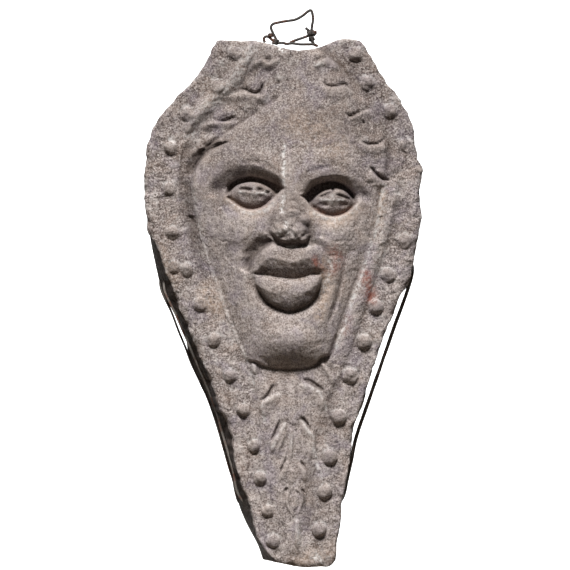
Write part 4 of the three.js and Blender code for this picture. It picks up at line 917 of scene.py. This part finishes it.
def stone_material():
    """Trachyte, a hard volcanic stone, tooled and then weathered for centuries: a matt grey-brown ground with a mauve
    cast, pale and dark grains of 1 to 3 mm, pits, limy runs, and rusty and ochre traces. Painted shade darkens its
    hollows, undersides and flanks, and painted highlights pale its ridges and edges."""
    material, tree, out = new_material("weathered_trachyte")
    place = add_node(tree, "ShaderNodeTexCoord").outputs["Object"]

    def noisy(scale, detail, rough=0.6, distortion=0.0):
        links = {"Vector": place, "Scale": scale, "Detail": detail, "Roughness": rough, "Distortion": distortion}
        return add_node(tree, "ShaderNodeTexNoise", links).outputs["Fac"]

    def grains(scale, feature="F1"):
        return add_node(tree, "ShaderNodeTexVoronoi", {"Vector": place, "Scale": scale}, feature=feature)

    def value(name):
        return add_node(tree, "ShaderNodeAttribute", attribute_name=name).outputs["Fac"]

    clouds = noisy(14, 5)
    colour = mix_colours(tree, ranged(tree, clouds, 0.35, 0.65), linear("#827571"), linear("#92847e"))
    warm = ranged(tree, noisy(9, 4, distortion=0.4), 0.50, 0.72)
    colour = mix_colours(tree, math(tree, "MULTIPLY", warm, 0.48), colour, linear("#94806f"))
    cool = ranged(tree, noisy(21, 4, 0.6, 0.5), 0.48, 0.68, 0, 0.60)
    colour = mix_colours(tree, cool, colour, linear("#827a82"))
    blotch = noisy(42, 5, 0.65)
    colour = mix_colours(tree, ranged(tree, blotch, 0.50, 0.36, 0, 0.60), colour, linear("#6f625d"))
    colour = mix_colours(tree, ranged(tree, blotch, 0.52, 0.66, 0, 0.40), colour, linear("#b5a9a3"))
    # Paler on the face and beard, and painted light that grows towards the bottom
    colour = mix_colours(tree, math(tree, "MULTIPLY", value("pale"), 0.58), colour, linear("#b9aca6"))
    tall = add_node(tree, "ShaderNodeMapping", {"Vector": place, "Scale": (1.0, 1.0, 0.14)}).outputs["Vector"]
    links = {"Vector": tall, "Scale": 170, "Detail": 4, "Roughness": 0.65}
    streak = add_node(tree, "ShaderNodeTexNoise", links).outputs["Fac"]
    colour = mix_colours(tree, ranged(tree, streak, 0.50, 0.38, 0, 0.42), colour, linear("#6b5f59"))
    colour = mix_colours(tree, ranged(tree, streak, 0.52, 0.64, 0, 0.32), colour, linear("#c3b7b0"))
    speck = noisy(540, 3, 0.75)
    strong = ranged(tree, value("coarse"), 0, 1, 0.80, 1.0)
    light_grain = math(tree, "MULTIPLY", ranged(tree, speck, 0.50, 0.61, 0, 0.90), strong)
    colour = mix_colours(tree, light_grain, colour, linear("#c9bfb9"))
    dark_grain = math(tree, "MULTIPLY", ranged(tree, speck, 0.48, 0.38, 0, 0.82), strong)
    colour = mix_colours(tree, dark_grain, colour, linear("#3c322c"))
    grain = grains(420)
    pale = math(tree, "MULTIPLY", ranged(tree, grain.outputs["Distance"], 0.32, 0.18), ranged(tree, grain.outputs["Color"], 0.80, 0.86))
    colour = mix_colours(tree, pale, colour, linear("#d9d2cc"))
    ink = noisy(260, 2, 0.6)
    colour = mix_colours(tree, ranged(tree, ink, 0.62, 0.70, 0, 0.55), colour, linear("#3b322e"))

    bloom = math(tree, "MULTIPLY", ranged(tree, noisy(75, 5, 0.7), 0.56, 0.66, 0, 0.55), value("coarse"))
    colour = mix_colours(tree, bloom, colour, linear("#d0c8c3"))
    stain = noisy(34, 4, 0.6, 0.5)
    colour = mix_colours(tree, ranged(tree, stain, 0.52, 0.66, 0, 0.15), colour, linear("#a5876f"))
    colour = mix_colours(tree, ranged(tree, stain, 0.50, 0.36, 0, 0.26), colour, linear("#7d748a"))

    # Painted shade with dirt in the relief's hollows, and painted highlight with wear on its ridges
    hollow = value("hollow")
    colour = mix_colours(tree, ranged(tree, hollow, 0.0, 1.0, 0, 0.50), colour, linear("#4b3f38"))
    colour = mix_colours(tree, ranged(tree, hollow, 0.0, -1.0, 0, 0.38), colour, linear("#bdb0a8"))
    # Painted shade with some grime: the strokes, the boss heads, and every flank and back point darken towards #3f342e
    colour = mix_colours(tree, math(tree, "MULTIPLY", value("painted_shade_and_grime"), 0.85), colour, linear("#3f342e"))
    broken = ranged(tree, noisy(180, 4, 0.7), 0.36, 0.56)
    ochre = math(tree, "MULTIPLY", value("ochre"), broken)
    colour = mix_colours(tree, math(tree, "MULTIPLY", ochre, 0.75), colour, linear("#b89d85"))
    rust = math(tree, "MULTIPLY", value("rust"), broken)
    colour = mix_colours(tree, math(tree, "MULTIPLY", rust, 0.85), colour, linear("#8a4834"))
    # Limy runs, pale chipped edges, and painted highlights on ridges, rims and over the bosses
    lime_and_highlight = math(tree, "MULTIPLY", value("lime_and_highlight"), ranged(tree, noisy(260, 3, 0.7), 0.44, 0.56))
    colour = mix_colours(tree, lime_and_highlight, colour, linear("#e6e2de"))

    height = math(tree, "ADD", math(tree, "MULTIPLY", noisy(520, 4, 0.7), 0.9), math(tree, "MULTIPLY", ink, -0.7))
    height = math(tree, "ADD", height, math(tree, "MULTIPLY", noisy(120, 3), 2.4))
    height = math(tree, "ADD", height, math(tree, "MULTIPLY", streak, 1.2))
    bump = add_node(tree, "ShaderNodeBump", {"Height": height, "Strength": ranged(tree, value("coarse"), 0, 1, 0.55, 0.95), "Distance": 0.0016})
    rough = ranged(tree, speck, 0.3, 0.7, 0.96, 0.72)
    links = {"Base Color": colour, "Roughness": rough, "Normal": bump.outputs[0], "IOR": 1.5, "Specular IOR Level": 0.35}
    shader = add_node(tree, "ShaderNodeBsdfPrincipled", links)
    tree.links.new(shader.outputs[0], out.inputs[0])
    return material


def wire_material(name, dark, light):
    """Annealed iron binding wire: dark oxide with grey bare streaks, and brown rust in patches."""
    material, tree, out = new_material(name)
    place = add_node(tree, "ShaderNodeTexCoord").outputs["Object"]
    patch = add_node(tree, "ShaderNodeTexNoise", {"Vector": place, "Scale": 90, "Detail": 4}).outputs["Fac"]
    fine = add_node(tree, "ShaderNodeTexNoise", {"Vector": place, "Scale": 900, "Detail": 3}).outputs["Fac"]
    colour = mix_colours(tree, ranged(tree, fine, 0.35, 0.65), linear(dark), linear(light))
    rust = ranged(tree, patch, 0.52, 0.66)
    colour = mix_colours(tree, math(tree, "MULTIPLY", rust, 0.8), colour, linear("#5e3a2a"))
    bump = add_node(tree, "ShaderNodeBump", {"Height": fine, "Strength": 0.4, "Distance": 0.0002})
    links = {
        "Base Color": colour,
        "Metallic": ranged(tree, rust, 0, 1, 0.15, 0.0),
        "Roughness": ranged(tree, rust, 0, 1, 0.6, 0.9),
        "Normal": bump.outputs[0],
        "Specular IOR Level": 0.3,
    }
    shader = add_node(tree, "ShaderNodeBsdfPrincipled", links)
    tree.links.new(shader.outputs[0], out.inputs[0])
    return material


def paper_material(name, tone, glow):
    """Matt studio paper; where it glows it is lit from behind, so that it stays white whatever falls on it."""
    material, tree, out = new_material(name)
    links = {"Base Color": linear(tone), "Roughness": 1.0, "Emission Color": linear("#ffffff"), "Emission Strength": glow}
    shader = add_node(tree, "ShaderNodeBsdfPrincipled", links)
    tree.links.new(shader.outputs[0], out.inputs[0])
    return material


def tube(points, radius, sides=10):
    """A round wire: a circle carried along a smooth line, square to it, and a point at each end that closes it."""
    line = np.asarray(points, float)
    way = np.gradient(line, axis=0)
    way /= np.linalg.norm(way, axis=1)[:, None]
    first = np.cross(way, [0.37, 0.86, 0.35])
    first /= np.linalg.norm(first, axis=1)[:, None]
    second = np.cross(way, first)
    angle = np.linspace(0, 2 * np.pi, sides, endpoint=False)
    round_it = first[:, None] * np.cos(angle)[:, None] + second[:, None] * np.sin(angle)[:, None]
    rings = line[:, None] + radius * round_it
    index = np.arange(len(line) * sides).reshape(len(line), sides)
    index = np.concatenate([index, index[:, :1]], axis=1)
    start, end = len(line) * sides, len(line) * sides + 1
    caps = [
        np.stack([index[0, :-1], index[0, 1:], np.full(sides, start)], axis=1),
        np.stack([index[-1, 1:], index[-1, :-1], np.full(sides, end)], axis=1),
    ]
    points = np.vstack([rings.reshape(-1, 3), line[:1], line[-1:]])
    return points, [grid_faces(index), *caps]


def wire_line(places, kink=0.5, seed=0, steps=14):
    """A hand-bent wire's middle line through (across, down, depth), with slight kinks."""
    line = smooth_line(places, steps)
    line = to_metres(line[:, 0], line[:, 1], line[:, 2])
    for axis in (0, 2):
        line[:, axis] += kink * MM * noise(line, 0.018, seed + axis, 2)
    return line


def coil(middle, axis_tilt, reach, turns, pitch, steps=18):
    """A few turns of wire: a circle in a tilted plane that moves on along its axis by the pitch in each turn."""
    angle = np.linspace(0, 2 * np.pi * turns, int(steps * turns) + 1)
    across, ahead = np.cos(axis_tilt), np.sin(axis_tilt)
    along = pitch * (angle / (2 * np.pi) - turns / 2)
    x = middle[0] + reach * np.cos(angle) * across - along * ahead
    y = middle[1] + reach * np.cos(angle) * ahead + along * across
    depth = middle[2] + 1.136 * reach * np.sin(angle)
    return to_metres(x, y, depth)


def join_tubes(name, lines, radius, material):
    """One piece of several closed tubes."""
    points, faces, count = [], [], 0
    for line in lines:
        tube_points, tube_faces = tube(line, radius)
        points.append(tube_points)
        faces += [face + count for face in tube_faces]
        count += len(tube_points)
    return make_mesh(name, np.vstack(points), faces, material)


def set_camera():
    """A long lens straight before the stone, so that the frame is 570 pixels of the photograph wide at its border."""
    centre = Vector(to_metres(*PICTURE_MIDDLE, SLAB_DEPTH))
    data = bpy.data.cameras.new("camera")
    data.sensor_width = 36
    data.lens = 36 * CAMERA_DISTANCE / (570 * PX)
    camera = bpy.data.objects.new("camera", data)
    camera.location = centre + Vector((0, -CAMERA_DISTANCE, 0))
    camera.rotation_euler = (np.pi / 2, 0, 0)
    bpy.context.scene.collection.objects.link(camera)
    bpy.context.scene.camera = camera


def add_light(name, place, size, power, aim=(0, -0.06, 0)):
    """A square soft light that faces a point."""
    data = bpy.data.lights.new(name, "AREA")
    data.size = size
    data.energy = power
    light = bpy.data.objects.new(name, data)
    light.location = place
    light.rotation_euler = (Vector(aim) - Vector(place)).to_track_quat("-Z", "Y").to_euler()
    bpy.context.scene.collection.objects.link(light)


def make_stage():
    """A pale floor well below the stone, a white paper wall well behind it, and the studio's lights."""
    floor, wall, side = -1.5, 1.2, 0.8
    for name, corners, tone, glow in (
        ("pale_floor", [(-side, -side, floor), (side, -side, floor), (-side, wall, floor), (side, wall, floor)], "#b6a999", 0),
        ("paper_wall", [(-side, wall, floor), (side, wall, floor), (-side, wall, 0.9), (side, wall, 0.9)], "#ffffff", 1),
    ):
        faces = [grid_faces(np.arange(4).reshape(2, 2))]
        make_mesh(name, np.array(corners), faces, paper_material(name, tone, glow))
    world = bpy.data.worlds.new("studio")
    world.use_nodes = True
    background = world.node_tree.nodes["Background"]
    background.inputs[0].default_value = linear("#fff0e0")
    background.inputs[1].default_value = AMBIENT
    bpy.context.scene.world = world
    add_light("key", (-0.9, -7.3, 9.3), 2.0, 2500)
    add_light("fill", (-0.3, -3.4, 1.2), 1.8, 3)
    bpy.context.scene.view_settings.view_transform = "Standard"


def make_stone():
    """The carved stone, with its marks."""
    points, faces, (x, y, rise, fresh) = stone_surface()
    piece = make_mesh("carved_stone", points, faces, stone_material())
    # The relief less its blur: positive in hollows for painted shade with dirt, negative on ridges for painted
    # highlight
    fine = rise - blurred(rise, 3)
    broad = rise - blurred(rise, 9)
    hollow = -np.clip(0.40 * fine + 0.09 * broad, -1, 1)
    add_values(piece, "hollow", hollow)
    add_values(piece, "coarse", coarseness(x, y), 1.0)
    pale, dark = boss_marks(x, y)
    # Limy runs and chipped edges, with painted highlights: the strokes and a pale arc over the top of each boss
    add_values(piece, "lime_and_highlight", np.maximum(marks(LIME_AND_HIGHLIGHTS, x, y), np.maximum(pale, fresh)))
    add_values(piece, "pale", np.clip(paleness_and_painted_light(x, y), 0, 1))
    add_values(piece, "rust", marks(RUST, x, y))
    add_values(piece, "ochre", marks(OCHRE, x, y))
    # Painted shade with some grime: the strokes and boss heads, and full strength on the flanks and back so they read
    # as shaded
    add_values(piece, "painted_shade_and_grime", np.maximum(marks(PAINTED_SHADE_AND_GRIME, x, y), dark), 1.0)
    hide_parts("stone_mask")
    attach(piece, "root")


def coarseness(x, y):
    """1 on the rough border, foot and nose, half on the forehead, and 0 on the smoother cheeks and chin."""
    left, right = across_at(FACE["left"], y), across_at(FACE["right"], y)
    inside = np.minimum(x - left, right - x)
    coarse = np.where((y > 60) & (y < 365), smoothstep(8, -6, inside), 0.8)
    forehead = 0.5 * smoothstep(176, 150, y)
    broken = smoothstep(1.2, 0.8, np.hypot((x - 291) / 17, (y - 229) / 18))
    lips = 0.6 * smoothstep(1.2, 0.8, np.hypot((x - 290) / 41, (y - 279) / 34))
    coarse = np.maximum(coarse, np.maximum(forehead, np.maximum(broken, lips)))
    beard_left, beard_right = across_at(BEARD_SIDES["left"], y), across_at(BEARD_SIDES["right"], y)
    beard = smoothstep(-2, 5, np.minimum(x - beard_left, beard_right - x)) * smoothstep(364, 372, y) * smoothstep(560, 480, y)
    smooth = np.maximum(marks([(RIGHT_BAND, 6.0, 0.6), (ROLL, 8.0, 0.6)], x, y), 0.75 * beard)
    return coarse * (1 - smooth)


def paleness_and_painted_light(x, y):
    """How pale the stone is: most on the cheeks, the chin and the beard, little on the border, with painted light
    that brightens everything more towards the bottom.
    """
    left, right = across_at(FACE["left"], y), across_at(FACE["right"], y)
    inside = smoothstep(-3, 6, np.minimum(x - left, right - x)) * smoothstep(196, 222, y)
    beard_left, beard_right = across_at(BEARD_SIDES["left"], y), across_at(BEARD_SIDES["right"], y)
    beard = smoothstep(-3, 6, np.minimum(x - beard_left, beard_right - x)) * smoothstep(364, 376, y)
    lips = smoothstep(1.1, 0.9, np.hypot((x - 290) / 40, (y - 279) / 34))
    inside = inside * (1 - 0.6 * smoothstep(285, 320, y))
    # The last term is painted light, growing towards the bottom
    return np.maximum(inside * (1 - lips), 0.38 * beard) + 0.40 * smoothstep(200, 340, y)


def boss_marks(x, y):
    """How strongly each place is marked by the bosses: a pale arc over the top of each, a painted highlight with dust,
    and darker heads.
    """
    pale, dark = np.zeros_like(x), np.zeros_like(x)
    for bx, by, radius, _ in LEFT_BOSSES + RIGHT_BOSSES:
        off = np.hypot(x - bx, y - by)
        above = np.clip((by - y) / np.maximum(off, 1), 0, 1)
        # Painted highlight with dust, on the upper side only
        pale = np.maximum(pale, 0.40 * above * np.exp(-(((off - radius - 0.5) / 1.8) ** 2)))
        dark = np.maximum(dark, 0.40 * smoothstep(radius, radius - 3, off))
    return pale, dark


def make_wires():
    """The two turns of the sling, and the bail with its knots, over the places of their CAD nodes."""
    # The sling's wire is a lighter copy of the bail's: painted fill light on wires that lie in the stone's shadow
    iron = wire_material("iron_wire_with_painted_fill", "#625c57", "#8a837b")
    dark_iron = wire_material("annealed_iron_wire", "#2b2725", "#4f4a46")
    for name, route, depth in (("outer", OUTER_SLING, 16.5), ("inner", INNER_SLING, 36.5)):
        piece = join_tubes("sling_turn_" + name, [sling_line(route, depth)], WIRE_DIAMETER / 2, iron)
        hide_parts("sling_wire_" + name)
        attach(piece, "root")
    lines = [wire_line([(*bail_place(x, y), BAIL_DEPTH + d) for x, y, d in strand], 0.3, 5, 10) for strand in BAIL_STRANDS]
    lines += [coil((*bail_place(x, y), BAIL_DEPTH + d), *rest) for x, y, d, *rest in BAIL_COILS]
    piece = join_tubes("knotted_bail", lines, BAIL_WIRE_DIAMETER / 2, dark_iron)
    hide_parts("hanging_bail")
    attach(piece, "root")


def bail_place(x, y):
    """Where a place of the bail in the photograph truly is, in the bail's own plane."""
    return seen([(x, y)], BAIL_DEPTH)[0]


def sling_line(route, depth):
    """One turn of the sling: down behind the left side, along the left flank, through the foot, and up the right."""
    left = seen(route["left"], depth)
    right = seen(route["right"], depth)
    behind = [(*place, BACK_FALL - 3.2 - 6.0 * k / 3) for k, place in enumerate(route["behind_left"][::-1])][::-1]
    other = [(*place, BACK_FALL - 3.2 - 6.0 * k / 3) for k, place in enumerate(route["behind_right"])]
    inside = [(*p, 27) for p in seen(FOOT_BORE, 27)]
    places = behind + [(*p, depth) for p in left] + inside + [(*p, depth) for p in right] + other
    return wire_line(places, 0.4, 9, 12)


set_camera()
make_stone()
make_wires()
make_stage()
